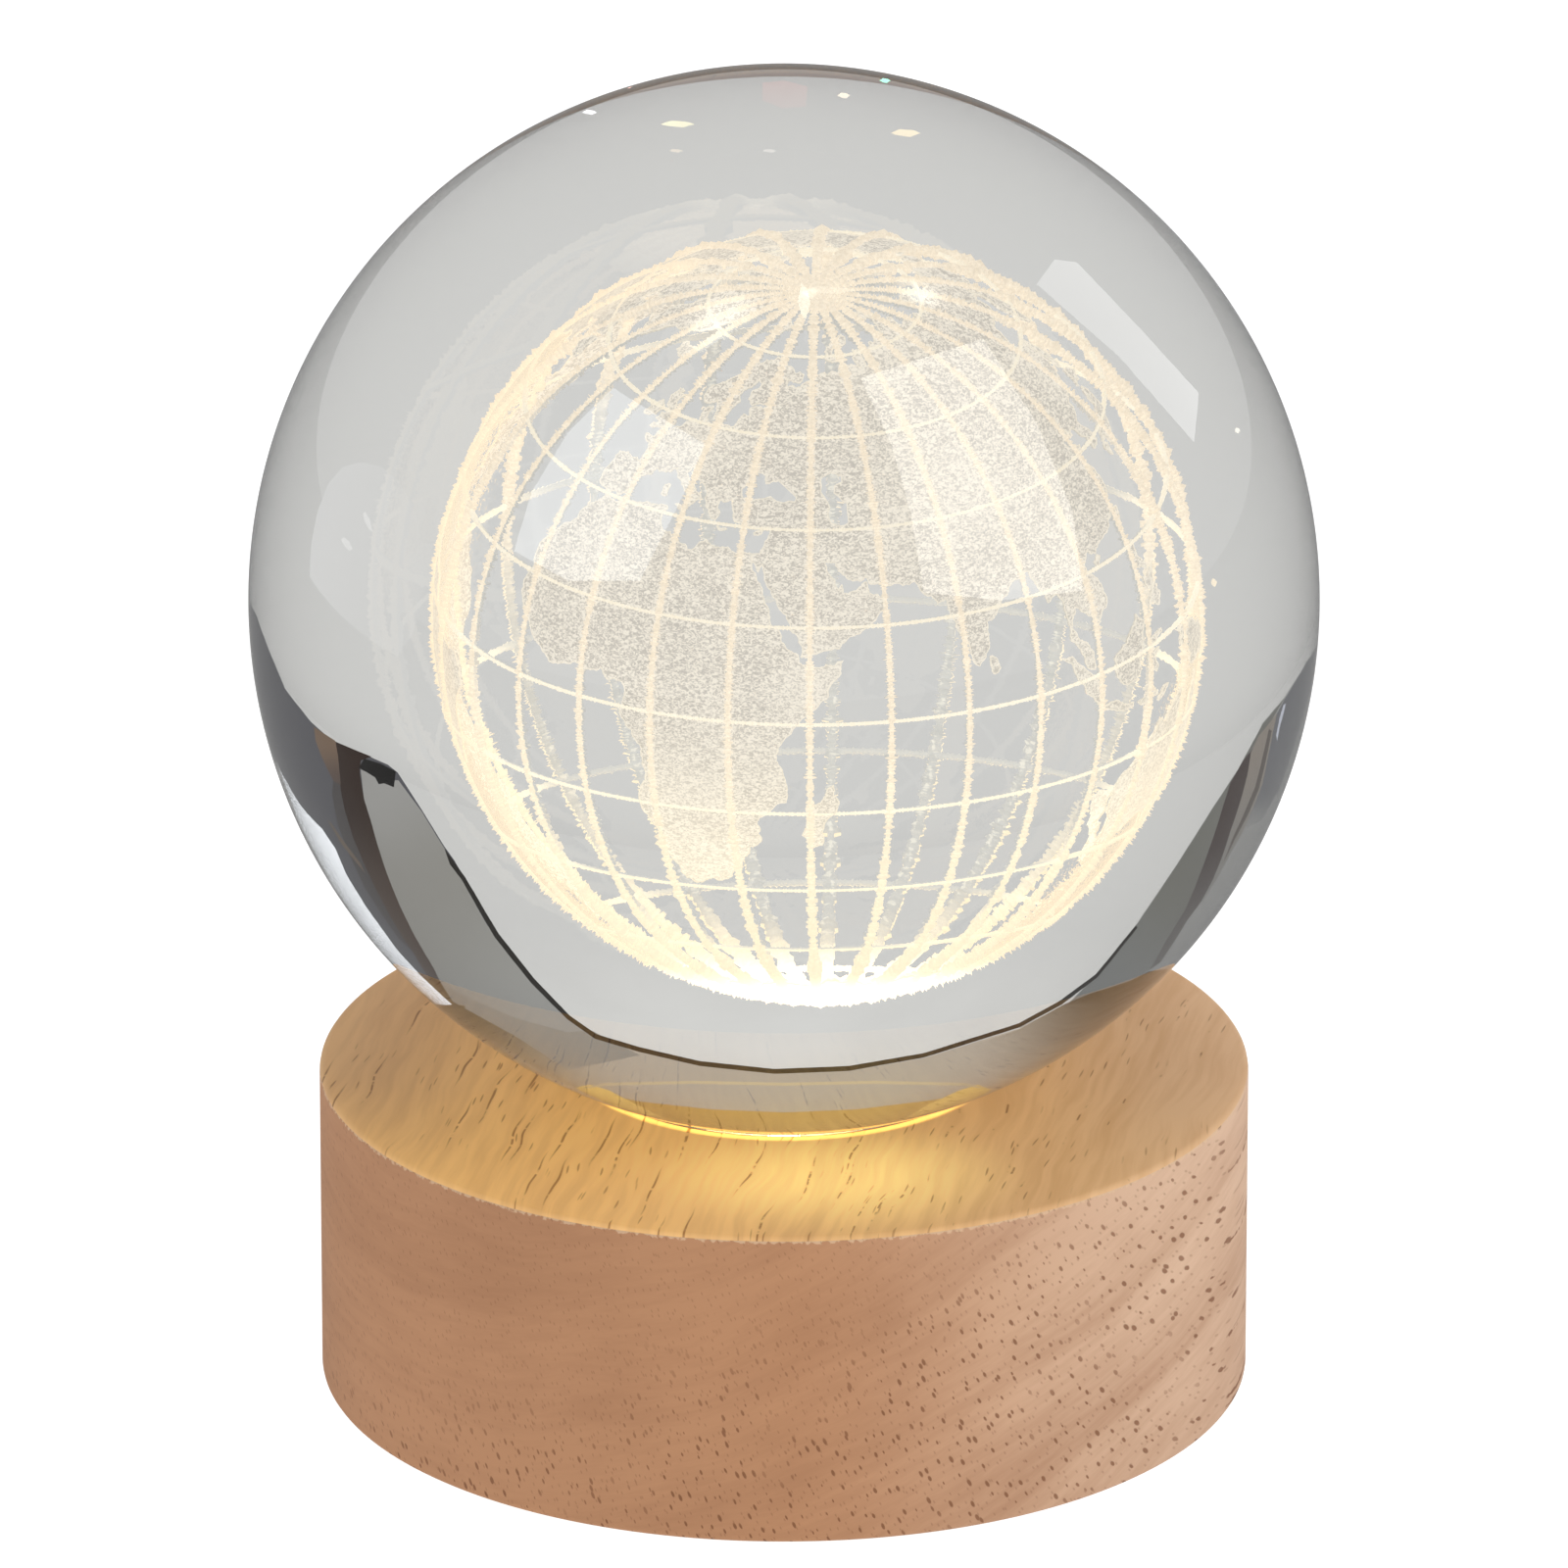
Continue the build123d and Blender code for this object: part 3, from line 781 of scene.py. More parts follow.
        # A paler ragged band along the top edge of the side.
        ragged = graph.plus(z, graph.span(graph.noise(place, 2.2, 2.0), 0.3, 0.7, -0.14, 0.14))
        rim = graph.span(ragged, 24.88, 25.02)
        colour = graph.blend(graph.times(rim, 0.75), colour, self.pale_rim)
        colour = graph.blend(graph.times(pores, 0.78), colour, self.pore)
        height = graph.minus(graph.times(grain, 0.25), pores)
        normal = graph.bump(height, 0.3, 0.00008)
        return graph.surface(Base_Color=colour, Roughness=0.62, Specular_IOR_Level=0.3, Normal=normal)

    def _top(
        self, graph: Graph, cut: Cut, place: Socket, across: Socket, along: Socket, band: Socket,
        broad: Socket,
    ) -> Material:
        """Return the planed top, with the pores as long dark streaks, and the painted light on it.

        Args:
            graph: the material's graph.
            cut: which faces the material is for.
            place: the place on the wood, in millimetres.
            across: the distance across the fibres.
            along: the distance along the fibres.
            band: the growth bands.
            broad: broad patches.

        Returns:
            The material.
        """
        sway = graph.noise(graph.vector(across, graph.times(along, 0.7), 0.0), 0.10, 2.0)
        swayed = graph.plus(across, graph.times(sway, 3.2))
        streaks = graph.cells(graph.vector(swayed, graph.times(along, 0.022), 0.0), 0.95, "2D")
        dashes = graph.cells(graph.vector(swayed, graph.times(along, 0.09), 0.0), 1.25, "2D")
        broken = graph.noise(place, 0.8, 2.0)
        thin = graph.noise(place, 0.09, 1.0)
        long_pores = graph.minus(1.0, graph.span(streaks, 0.04, 0.125))
        fewer = graph.span(graph.axes(place)[0], -4.0, 16.0, 0.38, 0.60)
        long_pores = graph.math(
            "MULTIPLY", long_pores, graph.span(graph.minus(broken, fewer), -0.06, 0.10)
        )
        short_pores = graph.minus(1.0, graph.span(dashes, 0.05, 0.12))
        short_pores = graph.times(short_pores, graph.span(thin, 0.40, 0.60, 0.0, 0.8))
        pores = graph.math("MAXIMUM", long_pores, short_pores)
        veins = graph.noise(graph.vector(swayed, graph.times(along, 0.07), 0.0), 1.1, 4.0)
        grain = graph.plus(graph.times(band, 0.25), graph.span(veins, 0.3, 0.7, 0.0, 0.6))
        grain = graph.plus(grain, graph.span(broad, 0.3, 0.7, -0.20, 0.20), clamp=True)
        paler = graph.span(graph.axes(place)[0], 4.0, 30.0)
        light = graph.blend(paler, self.top_light, self.top_right_light)
        colour = graph.blend(grain, light, self.top_dark)
        colour = graph.blend(graph.times(pores, 0.80), colour, self.top_pore)
        height = graph.minus(graph.times(grain, 0.2), pores)
        normal = graph.bump(height, 0.25, 0.00008)
        if cut is Cut.BORED_RECESS:
            return graph.surface(Base_Color=colour, Roughness=0.6, Specular_IOR_Level=0.3, Normal=normal)
        # Painted light, as emission: a warm glow strongest near the seat, towards the front and to the
        # left, a bright ring at the seat, and a pool of light in front.
        x, y, _ = graph.axes(place)
        out = graph.length(graph.vector(x, y, 0.0))
        near = graph.plus(graph.span(out, 34.0, 15.0, 0.0, 0.6), graph.span(y, 2.0, -28.0))
        near = graph.times(near, graph.span(x, -20.0, 14.0, 1.20, 0.42))
        line = graph.span(out, 16.5, 15.9)
        pool_place = graph.vector(graph.times(graph.minus(x, 4.0), 0.80), graph.plus(y, 23.5), 0.0)
        pool = graph.span(graph.length(pool_place), 12.5, 1.0)
        near = graph.plus(graph.times(near, 0.30), graph.times(line, 1.8))
        lit = graph.blend(1.0, self.spill, graph.vector(near, near, near), "MULTIPLY")
        pooled = graph.times(pool, 0.66)
        pool_light = graph.blend(1.0, self.pool, graph.vector(pooled, pooled, pooled), "MULTIPLY")
        lit = graph.blend(1.0, lit, pool_light, "ADD")
        spill = graph.blend(1.0, colour, lit, "MULTIPLY")
        return graph.surface(
            Base_Color=colour, Roughness=0.5, Specular_IOR_Level=0.35, Normal=normal,
            Emission_Color=spill, Emission_Strength=1.0,
        )


@dataclass(frozen=True)
class Moulded:
    """A moulded or rubbery part: one colour with a fine spark-eroded grain and slight mottling."""

    name: str
    colour: Colour
    roughness: float = 0.5
    grain_per_mm: float = 6.0
    grain_height: float = 0.00003
    mottle: float = 0.12

    def material(self) -> Material:
        """Return the material."""
        graph = Graph(self.name)
        here = graph.place()
        grain = graph.noise(here, self.grain_per_mm, 3.0)
        patches = graph.noise(here, 0.15, 2.0)
        darker = tuple(part * (1.0 - self.mottle) for part in self.colour)
        lighter = tuple(min(1.0, part * (1.0 + self.mottle)) for part in self.colour)
        colour = graph.blend(graph.span(patches, 0.3, 0.7), darker, lighter)
        gloss = graph.span(grain, 0.3, 0.7, self.roughness * 0.88, self.roughness * 1.12)
        normal = graph.bump(grain, 0.35, self.grain_height)
        return graph.surface(Base_Color=colour, Roughness=gloss, Normal=normal)


@dataclass(frozen=True)
class Metal:
    """Plated or rolled metal, with fine rolling lines and a little tarnish."""

    name: str
    colour: Colour
    roughness: float = 0.3
    tarnish: float = 0.25

    def material(self) -> Material:
        """Return the material."""
        graph = Graph(self.name)
        lines = graph.noise(graph.place(scale=(0.15, 4.0, 4.0)), 2.0, 3.0)
        spots = graph.noise(graph.place(), 0.6, 3.0)
        dull = tuple(part * (1.0 - self.tarnish) for part in self.colour)
        colour = graph.blend(graph.span(spots, 0.45, 0.8), self.colour, dull)
        gloss = graph.span(spots, 0.3, 0.8, self.roughness * 0.8, self.roughness * 1.4)
        normal = graph.bump(lines, 0.15, 0.00002)
        return graph.surface(Base_Color=colour, Metallic=1.0, Roughness=gloss, Normal=normal)


# Optics of the ball, and the studio that it is seen in


@dataclass(frozen=True)
class BallPicture:
    """The ball's outline in the photograph, and what a point inside it looks at.

    Pixels are those of the 1600 by 1600 photograph. It is squeezed vertically, so the outline has two
    half axes.
    """

    centre_px: Point2 = (799.8, 608.8)
    half_width_px: float = 594.4
    half_height_px: float = 542.0
    elevation: float = 21.3
    refraction: float = 1.52
    edge_limit: float = 0.998

    def axes(self) -> tuple[Vector, Vector, Vector]:
        """Return the camera's right, its up, and the way from the ball to the camera."""
        tilt = radians(self.elevation)
        return (
            Vector((1.0, 0.0, 0.0)), Vector((0.0, sin(tilt), cos(tilt))),
            Vector((0.0, -cos(tilt), sin(tilt))),
        )

    def _entry(self, pixel: Point2, eye: Vector, ball: Vector, radius: float) -> tuple[Vector, Vector]:
        """Return where a pixel's ray meets the ball, measured from the ball's centre, and its way.

        Args:
            pixel: the pixel in the photograph.
            eye: the camera's place.
            ball: the ball's centre.
            radius: the ball's radius.

        Returns:
            The meeting place and the ray's way.
        """
        right, up, _ = self.axes()
        side = (pixel[0] - self.centre_px[0]) / self.half_width_px
        rise = (self.centre_px[1] - pixel[1]) / self.half_height_px
        share = hypot(side, rise)
        if share > self.edge_limit:
            side, rise = side * self.edge_limit / share, rise * self.edge_limit / share
        way = (ball + (right * side + up * rise) * radius - eye).normalized()
        start = eye - ball
        along = start.dot(way)
        reach = along * along - start.length_squared + radius * radius
        return start + way * (-along - sqrt(max(reach, 0.0))), way

    def _bend(self, way: Vector, normal: Vector, ratio: float) -> Vector:
        """Return a ray's way after it is bent at a surface.

        Args:
            way: the ray's way.
            normal: the surface's normal, against the ray.
            ratio: the index on the ray's side over the index on the other side.

        Returns:
            The bent ray's way.
        """
        fall = -way.dot(normal)
        rest = max(0.0, 1.0 - ratio * ratio * (1.0 - fall * fall))
        return way * ratio + normal * (ratio * fall - sqrt(rest))

    def seen_through(self, pixel: Point2, eye: Vector, ball: Vector, radius: float, far: float) -> Vector:
        """Return the place that a pixel's ray reaches after it has gone through the ball.

        Args:
            pixel: the pixel in the photograph.
            eye: the camera's place.
            ball: the ball's centre.
            radius: the ball's radius.
            far: how far the place is from where the ray leaves the ball.

        Returns:
            The place.
        """
        entry, way = self._entry(pixel, eye, ball, radius)
        inside = self._bend(way, entry.normalized(), 1.0 / self.refraction)
        leave = entry - inside * (2.0 * entry.dot(inside))
        out = self._bend(inside, -leave.normalized(), self.refraction)
        return ball + leave + out.normalized() * far

    def mirrored(self, pixel: Point2, eye: Vector, ball: Vector, radius: float, far: float) -> Vector:
        """Return the place that the front of the ball mirrors at a pixel. Arguments as above."""
        entry, way = self._entry(pixel, eye, ball, radius)
        normal = entry.normalized()
        return ball + entry + (way - normal * (2.0 * way.dot(normal))) * far


class Seen(Enum):
    """How the ball shows a studio card."""

    THROUGH = "through"
    MIRRORED = "mirrored"


@dataclass(frozen=True)
class Card:
    """A studio card, given by its outline as the ball shows it in the photograph. It glows, and only rays
    through the ball or mirrored by it meet it: cards seen through paint the studio behind the ball, its
    shade and the lit seat, and mirrored cards are painted reflections and glints.

    Its tone may run into an end tone, from one pixel to another, and it may fade out on that way.
    """

    name: str
    outline_px: tuple[Point2, ...]
    tone: Colour
    seen: Seen = Seen.THROUGH
    far: float = 0.40
    end_tone: Colour | None = None
    start_px: Point2 = (0.0, 0.0)
    end_px: Point2 = (1.0, 0.0)
    fades: bool = False

    def material(self) -> Material:
        """Return the card's material, which reads the photograph's pixels from the sheet's UV map."""
        graph = Graph("studio_card_" + self.name)
        shade = graph.noise(graph.place(), 0.012, 2.0)
        dim = tuple(part * 0.86 for part in self.tone)
        colour = graph.blend(shade, self.tone, dim)
        run = Vector((self.end_px[0] - self.start_px[0], self.end_px[1] - self.start_px[1], 0.0))
        way = graph.add("VectorMath", operation="SUBTRACT")
        graph.feed(way.inputs[0], graph.add("UVMap", uv_map="photo_px").outputs["UV"])
        way.inputs[1].default_value = (*self.start_px, 0.0)
        share = graph.add("VectorMath", operation="DOT_PRODUCT")
        graph.feed(share.inputs[0], way.outputs["Vector"])
        share.inputs[1].default_value = run / run.length_squared
        reached = graph.span(share.outputs["Value"], 0.0, 1.0)
        if self.end_tone:
            colour = graph.blend(reached, colour, self.end_tone)
        glow = graph.add("Emission")
        graph.feed(glow.inputs["Color"], colour)
        clear = graph.add("BsdfTransparent")
        mix = graph.add("MixShader")
        graph.feed(mix.inputs[0], reached if self.fades else 0.0)
        graph.feed(mix.inputs[1], glow.outputs[0])
        graph.feed(mix.inputs[2], clear.outputs[0])
        graph.feed(graph.output.inputs["Surface"], mix.outputs[0])
        return graph.material


# Painted studio: views through the ball, with painted shade and the painted glow of the seat, and painted
# reflections and glints on its front.
CARDS = (
    Card(
        "pale_foot",
        pairs(
            446, 890, 483, 947, 523, 993, 562, 1030, 592, 1049, 640, 1062, 706, 1076, 789, 1084,
            872, 1081, 955, 1068, 1060, 1038, 1106, 1015, 1146, 988, 1190, 939, 1220, 895, 1150, 900,
            1000, 920, 800, 930, 600, 920, 500, 895,
        ),
        (1.40, 1.40, 1.39), far=0.46, start_px=(800.0, 1075.0), end_px=(800.0, 925.0), fades=True,
    ),
    Card(
        "dark_room_right",
        pairs(
            203, 560, 207, 610, 214, 624, 226, 655, 246, 699, 274, 732, 302, 755, 330, 764, 360, 776,
            371, 784, 398, 822, 423, 859, 434, 873, 480, 946, 520, 992, 560, 1030, 545, 1040, 480, 1030,
            431, 1021, 395, 990, 370, 965, 336, 922, 314, 889, 302, 863, 288, 844, 263, 819, 243, 788,
            228, 760, 212, 700, 203, 640,
        ),
        (0.17, 0.17, 0.195), far=0.44,
    ),
    Card(
        "brown_panel",
        pairs(
            300, 752, 318, 759, 342, 768, 330, 772, 329, 784, 334, 812, 341, 832, 349, 858, 359, 886,
            373, 918, 389, 948, 411, 982, 428, 1012, 404, 990, 388, 966, 370, 941, 352, 911, 336, 881,
            322, 851, 312, 821, 307, 796, 304, 768,
        ),
        (0.038, 0.012, 0.002), far=0.41, end_tone=(0.115, 0.075, 0.055), start_px=(325.0, 800.0),
        end_px=(380.0, 930.0),
    ),
    Card(
        "brown_shade",
        pairs(
            307, 796, 312, 821, 322, 851, 336, 881, 352, 911, 370, 941, 388, 966, 372, 952, 352, 926,
            334, 900, 318, 868, 304, 836, 298, 805, 300, 790,
        ),
        (0.12, 0.108, 0.11), far=0.42,
    ),
    Card(
        "tan_post", pairs(278, 738, 290, 745, 302, 752, 305, 768, 308, 796, 300, 793, 287, 769, 280, 752),
        (0.34, 0.225, 0.15), far=0.39, end_tone=(0.16, 0.11, 0.09), start_px=(294.0, 752.0),
        end_px=(300.0, 794.0),
    ),
    Card(
        "tan_thread", pairs(293, 832, 297, 835, 313, 856, 329, 875, 335, 886, 326, 876, 310, 858),
        (0.26, 0.20, 0.15), far=0.385,
    ),
    Card(
        "pale_panel",
        pairs(
            330, 781, 358, 792, 372, 792, 398, 824, 423, 861, 470, 938, 520, 996, 562, 1034, 640, 1070,
            560, 1085, 500, 1050, 432, 1016, 392, 955, 365, 907, 348, 862, 336, 830,
        ),
        (0.62, 0.615, 0.60), far=0.42, end_tone=(0.50, 0.49, 0.46), start_px=(345.0, 800.0),
        end_px=(385.0, 900.0),
    ),
    Card(
        "pale_panel_foot",
        pairs(
            385, 930, 404, 985, 440, 1008, 500, 1032, 560, 1047, 580, 1045, 562, 1034, 520, 996, 470, 938,
            440, 890,
        ),
        (0.64, 0.64, 0.62), far=0.418, start_px=(560.0, 1040.0), end_px=(410.0, 900.0), fades=True,
    ),
    Card(
        "black_clip",
        pairs(328, 779, 334, 770, 352, 775, 369, 783, 367, 799, 356, 795, 350, 796, 346, 789),
        (0.002, 0.001, 0.0), far=0.38,
    ),
    Card(
        "dark_room_left",
        pairs(
            1396, 600, 1391, 653, 1372, 684, 1355, 708, 1331, 734, 1314, 766, 1278, 816, 1235, 878,
            1192, 936, 1144, 991, 1115, 1018, 1061, 1042, 1150, 1060, 1227, 986, 1279, 929, 1321, 871,
            1356, 809, 1376, 742, 1392, 675,
        ),
        (0.60, 0.605, 0.60), far=0.44,
    ),
    Card(
        "near_slab_left",
        pairs(
            1355, 709, 1331, 735, 1314, 767, 1278, 817, 1235, 879, 1192, 937, 1144, 992, 1115, 1019,
            1150, 1016, 1205, 984, 1226, 951, 1245, 923, 1255, 902, 1268, 871, 1279, 842, 1287, 818,
            1295, 795, 1316, 764, 1338, 736,
        ),
        (0.315, 0.315, 0.29), far=0.43, end_tone=(0.33, 0.34, 0.34), start_px=(1240.0, 900.0),
        end_px=(1170.0, 1000.0),
    ),
    Card(
        "brown_band_left",
        pairs(
            1322, 757, 1318, 764, 1314, 787, 1306, 814, 1295, 844, 1287, 867, 1276, 892, 1264, 913,
            1247, 934, 1230, 959, 1218, 976, 1205, 984, 1226, 951, 1245, 923, 1255, 902, 1268, 871,
            1279, 842, 1287, 818, 1295, 795, 1308, 774,
        ),
        (0.115, 0.085, 0.080), far=0.41, end_tone=(0.20, 0.185, 0.18), start_px=(1290.0, 840.0),
        end_px=(1230.0, 960.0),
    ),
    Card(
        "tan_band_left",
        pairs(
            1347, 724, 1342, 745, 1339, 758, 1331, 795, 1320, 821, 1310, 842, 1297, 863, 1280, 892,
            1262, 918, 1276, 892, 1287, 867, 1295, 844, 1306, 814, 1314, 787, 1318, 764, 1326, 748,
        ),
        (0.50, 0.44, 0.39), far=0.40, end_tone=(0.40, 0.39, 0.375), start_px=(1335.0, 760.0),
        end_px=(1280.0, 890.0),
    ),
    Card(
        "dark_thread_left",
        pairs(
            1338, 740, 1341, 742, 1335, 770, 1327, 800, 1316, 824, 1300, 852, 1286, 878, 1298, 850,
            1312, 822, 1323, 798, 1331, 768,
        ),
        (0.20, 0.17, 0.15), far=0.395,
    ),
    Card(
        "slate_band_left",
        pairs(
            1391, 655, 1372, 685, 1356, 709, 1347, 724, 1342, 745, 1331, 795, 1320, 821, 1310, 842,
            1330, 832, 1350, 800, 1366, 758, 1384, 700, 1392, 665,
        ),
        (0.27, 0.275, 0.305), far=0.405, start_px=(1340.0, 800.0), end_px=(1336.0, 850.0), fades=True,
    ),
    Card(
        "bright_thread_left",
        pairs(1354, 716, 1357, 714, 1353, 728, 1350, 738, 1347, 752, 1346, 746, 1350, 728),
        (1.1, 1.15, 1.35), far=0.39,
    ),
    Card(
        "backdrop_rail",
        pairs(
            423, 861, 432, 872, 446, 890, 483, 947, 523, 993, 562, 1030, 592, 1049, 640, 1062, 706, 1076,
            789, 1084, 872, 1081, 955, 1068, 1060, 1038, 1106, 1015, 1146, 988, 1190, 939, 1192, 941,
            1148, 991, 1108, 1019, 1061, 1042, 955, 1072.5, 872, 1086, 789, 1089, 706, 1081, 640, 1067,
            590, 1053.5, 559, 1033.5, 519, 997, 478.5, 950.5, 442.5, 893, 429, 877,
        ),
        (0.030, 0.025, 0.020), far=0.39,
    ),
    Card(
        "backdrop_top",
        pairs(
            520, 1004, 560, 1036, 592, 1054, 640, 1067, 706, 1081, 789, 1089, 872, 1086, 955, 1073,
            1061, 1043, 1108, 1020, 1150, 1017, 1226, 984, 1180, 1030, 1120, 1066, 1060, 1096, 980, 1124,
            900, 1142, 800, 1149, 700, 1142, 620, 1124, 540, 1092, 470, 1050, 430, 1018, 470, 1006,
        ),
        (0.88, 0.79, 0.675), far=0.43,
    ),
    Card(
        "backdrop_shade_left",
        pairs(
            404, 992, 430, 1004, 470, 1000, 520, 1006, 560, 1037, 592, 1055, 640, 1068, 650, 1100,
            640, 1136, 560, 1110, 510, 1092, 460, 1062, 425, 1035, 400, 1010, 384, 990,
        ),
        (0.21, 0.17, 0.11), far=0.425, start_px=(440.0, 1015.0), end_px=(640.0, 1082.0), fades=True,
    ),
    Card(
        "backdrop_shade_right",
        pairs(
            1226, 983, 1205, 985, 1184, 995, 1142, 1007, 1112, 1018, 1061, 1044, 1000, 1063, 980, 1100,
            1040, 1112, 1080, 1100, 1130, 1076, 1190, 1040, 1236, 992,
        ),
        (0.13, 0.08, 0.035), far=0.425, start_px=(1180.0, 1010.0), end_px=(990.0, 1075.0), fades=True,
    ),
    Card(
        "seat_glow",
        pairs(
            570, 1105, 640, 1117, 720, 1125, 800, 1128, 880, 1125, 960, 1116, 1031, 1106, 1000, 1121,
            938, 1138, 872, 1147, 805, 1150, 739, 1147, 673, 1138, 616, 1124,
        ),
        (1.05, 0.62, 0.16), far=0.38,
    ),
    Card(
        "seat_glow_left", pairs(568, 1103, 585, 1100, 606, 1106, 640, 1122, 673, 1136, 616, 1123),
        (1.9, 1.25, 0.35), far=0.37,
    ),
    Card(
        "seat_glow_right", pairs(1031, 1105, 1015, 1100, 994, 1106, 960, 1120, 930, 1136, 990, 1122),
        (1.9, 1.25, 0.35), far=0.37,
    ),
    Card(
        "seat_edge",
        pairs(
            570, 1104, 600, 1098, 700, 1096, 800, 1098, 900, 1096, 1000, 1098, 1031, 1105, 1000, 1101,
            900, 1099, 800, 1101, 700, 1099, 600, 1101,
        ),
        (1.15, 0.95, 0.62), far=0.37,
    ),
    Card(
        "window_right",
        pairs(
            1021, 345, 885, 385, 918, 450, 940, 520, 955, 602, 1040, 610, 1131, 600, 1120, 520, 1080, 430,
        ),
        (4.3, 4.2, 4.0), Seen.MIRRORED,
    ),
    Card(
        "window_far_right",
        pairs(1100, 265, 1125, 268, 1190, 330, 1260, 400, 1255, 450, 1170, 362, 1080, 290),
        (3.0, 3.0, 3.0), Seen.MIRRORED,
    ),
    Card(
        "window_left",
        pairs(610, 395, 712, 452, 690, 500, 640, 590, 560, 590, 500, 560, 520, 500, 560, 440),
        (4.0, 4.2, 4.4), Seen.MIRRORED,
    ),
    Card(
        "window_foot_left",
        pairs(
            236, 772, 243, 786, 263, 817, 288, 842, 302, 861, 314, 887, 336, 920, 370, 963, 395, 988,
            431, 1019, 400, 1022, 350, 965, 300, 900, 262, 835,
        ),
        (2.60, 2.70, 2.88), far=0.37,
    ),
    Card(
        "dark_room_mirrored",
        pairs(
            215, 640, 252, 704, 302, 754, 372, 784, 430, 872, 520, 992, 640, 1066, 480, 1060, 404, 992,
            336, 921, 302, 862, 264, 818, 243, 787, 222, 730, 208, 660,
        ),
        (0.06, 0.055, 0.05), Seen.MIRRORED, far=0.30,
    ),
    Card(
        "dark_room_right_mirrored",
        pairs(
            1388, 660, 1350, 710, 1300, 784, 1236, 878, 1146, 990, 1060, 1044, 1130, 1050, 1200, 1000,
            1270, 920, 1330, 830, 1366, 760, 1386, 700,
        ),
        (0.12, 0.12, 0.12), Seen.MIRRORED, far=0.30,
    ),
    Card(
        "pale_disc",
        pairs(
            330, 470, 352, 474, 372, 490, 388, 516, 398, 548, 402, 580, 398, 614, 388, 644, 370, 668, 350,
            682, 326, 685, 302, 676, 286, 656, 276, 626, 273, 590, 275, 554, 282, 520, 294, 492, 310, 475,
        ),
        (1.15, 1.15, 1.20), Seen.MIRRORED, far=0.45, end_tone=(0.70, 0.70, 0.72), start_px=(285.0, 560.0),
        end_px=(390.0, 600.0),
    ),
    Card(
        "arc_glint",
        pairs(
            262, 640, 263, 660, 268, 682, 277, 706, 290, 728, 298, 738, 296, 739, 287, 730, 274, 707,
            265, 683, 260, 661, 259, 640,
        ),
        (5.5, 6.0, 5.8), Seen.MIRRORED,
    ),
    # Painted glints on the left of the ball.
    Card(
        "glint_card_left", pairs(308, 548, 312, 546, 317, 550, 321, 558, 317, 560, 312, 555), (2.4, 2.4, 2.4),
        Seen.MIRRORED,
    ),
    Card(
        "glint_card_left_high", pairs(332, 522, 335, 520, 340, 528, 343, 540, 340, 539, 335, 531),
        (2.6, 2.6, 2.6), Seen.MIRRORED,
    ),
    Card(
        "rainbow_middle", pairs(776, 86, 800, 84, 826, 90, 824, 110, 798, 112, 776, 104),
        (1.00, 0.68, 0.66), Seen.MIRRORED,
    ),
)


def spark(name: str, place: Point2, half_size: Point2, tone: Colour) -> Card:
    """Return a small mirrored card, seen as a six-sided spark: a painted glint.

    Args:
        name: the card's name.
        place: its centre in the photograph.
        half_size: half its width and half its height, in pixels.
        tone: its tone.

    Returns:
        The card.
    """
    (x, y), (wide, high) = place, half_size
    outline = (
        (x - wide, y), (x - wide * 0.4, y - high), (x + wide * 0.5, y - high * 0.7), (x + wide, y),
        (x + wide * 0.3, y + high), (x - wide * 0.5, y + high * 0.6),
    )
    return Card("spark_" + name, outline, tone, Seen.MIRRORED)


def hoop(name: str, place: Point2, half_size: Point2, tilt: float, width: float, tone: Colour) -> Card:
    """Return a thin mirrored ring, open at one point: a painted ring of reflected light.

    Args:
        name: the card's name.
        place: its centre in the photograph.
        half_size: half its width and half its height, in pixels.
        tilt: its lean, in degrees.
        width: how wide its line is, in pixels.
        tone: its tone.

    Returns:
        The card.
    """
    lean = radians(tilt)
    broad, tall = half_size
    outline: list[Point2] = []
    for wide, high, steps in ((broad, tall, range(33)), (broad - width, tall - width, range(32, -1, -1))):
        for step in steps:
            turn = radians(358.0) * step / 32
            side, rise = wide * cos(turn), high * sin(turn)
            outline.append(
                (
                    place[0] + side * cos(lean) - rise * sin(lean),
                    place[1] + side * sin(lean) + rise * cos(lean),
                )
            )
    return Card("hoop_" + name, tuple(outline), tone, Seen.MIRRORED)


# Painted glints and a painted ring of light, mirrored on the ball's front.
SPARKS = (
    hoop("left", (306.0, 685.0), (26.0, 46.0), -12.0, 2.4, (7.5, 8.0, 8.2)),
    spark("top_left", (682.0, 128.0), (19.0, 3.5), (4.4, 4.0, 2.2)),
    spark("top_right", (935.0, 137.0), (17.0, 4.0), (4.6, 3.6, 1.9)),
    spark("top_left_low", (680.0, 155.0), (8.0, 1.8), (3.2, 2.6, 1.8)),
    spark("top_middle_low", (784.0, 155.0), (8.0, 1.8), (2.8, 2.6, 2.4)),
    spark("far_left", (584.0, 116.0), (8.0, 2.4), (3.6, 3.6, 3.8)),
    spark("high_left", (627.0, 88.0), (4.5, 3.5), (3.0, 1.8, 1.6)),
    spark("high_right", (912.0, 84.0), (6.0, 2.4), (1.4, 3.6, 2.6)),
    spark("high_middle", (866.0, 99.0), (7.0, 3.0), (3.8, 3.2, 2.4)),
    spark("right", (1277.0, 592.0), (3.5, 4.5), (6.0, 4.4, 2.0)),
    spark("right_high", (1303.0, 438.0), (3.0, 3.0), (5.0, 4.6, 3.8)),
    spark("left", (230.0, 476.0), (2.6, 6.0), (4.2, 3.0, 1.6)),
    spark("pole", (822.0, 308.0), (7.0, 19.0), (4.8, 4.8, 4.4)),
    spark("pole_ray", (850.0, 296.0), (30.0, 4.0), (2.4, 2.4, 2.2)),
)


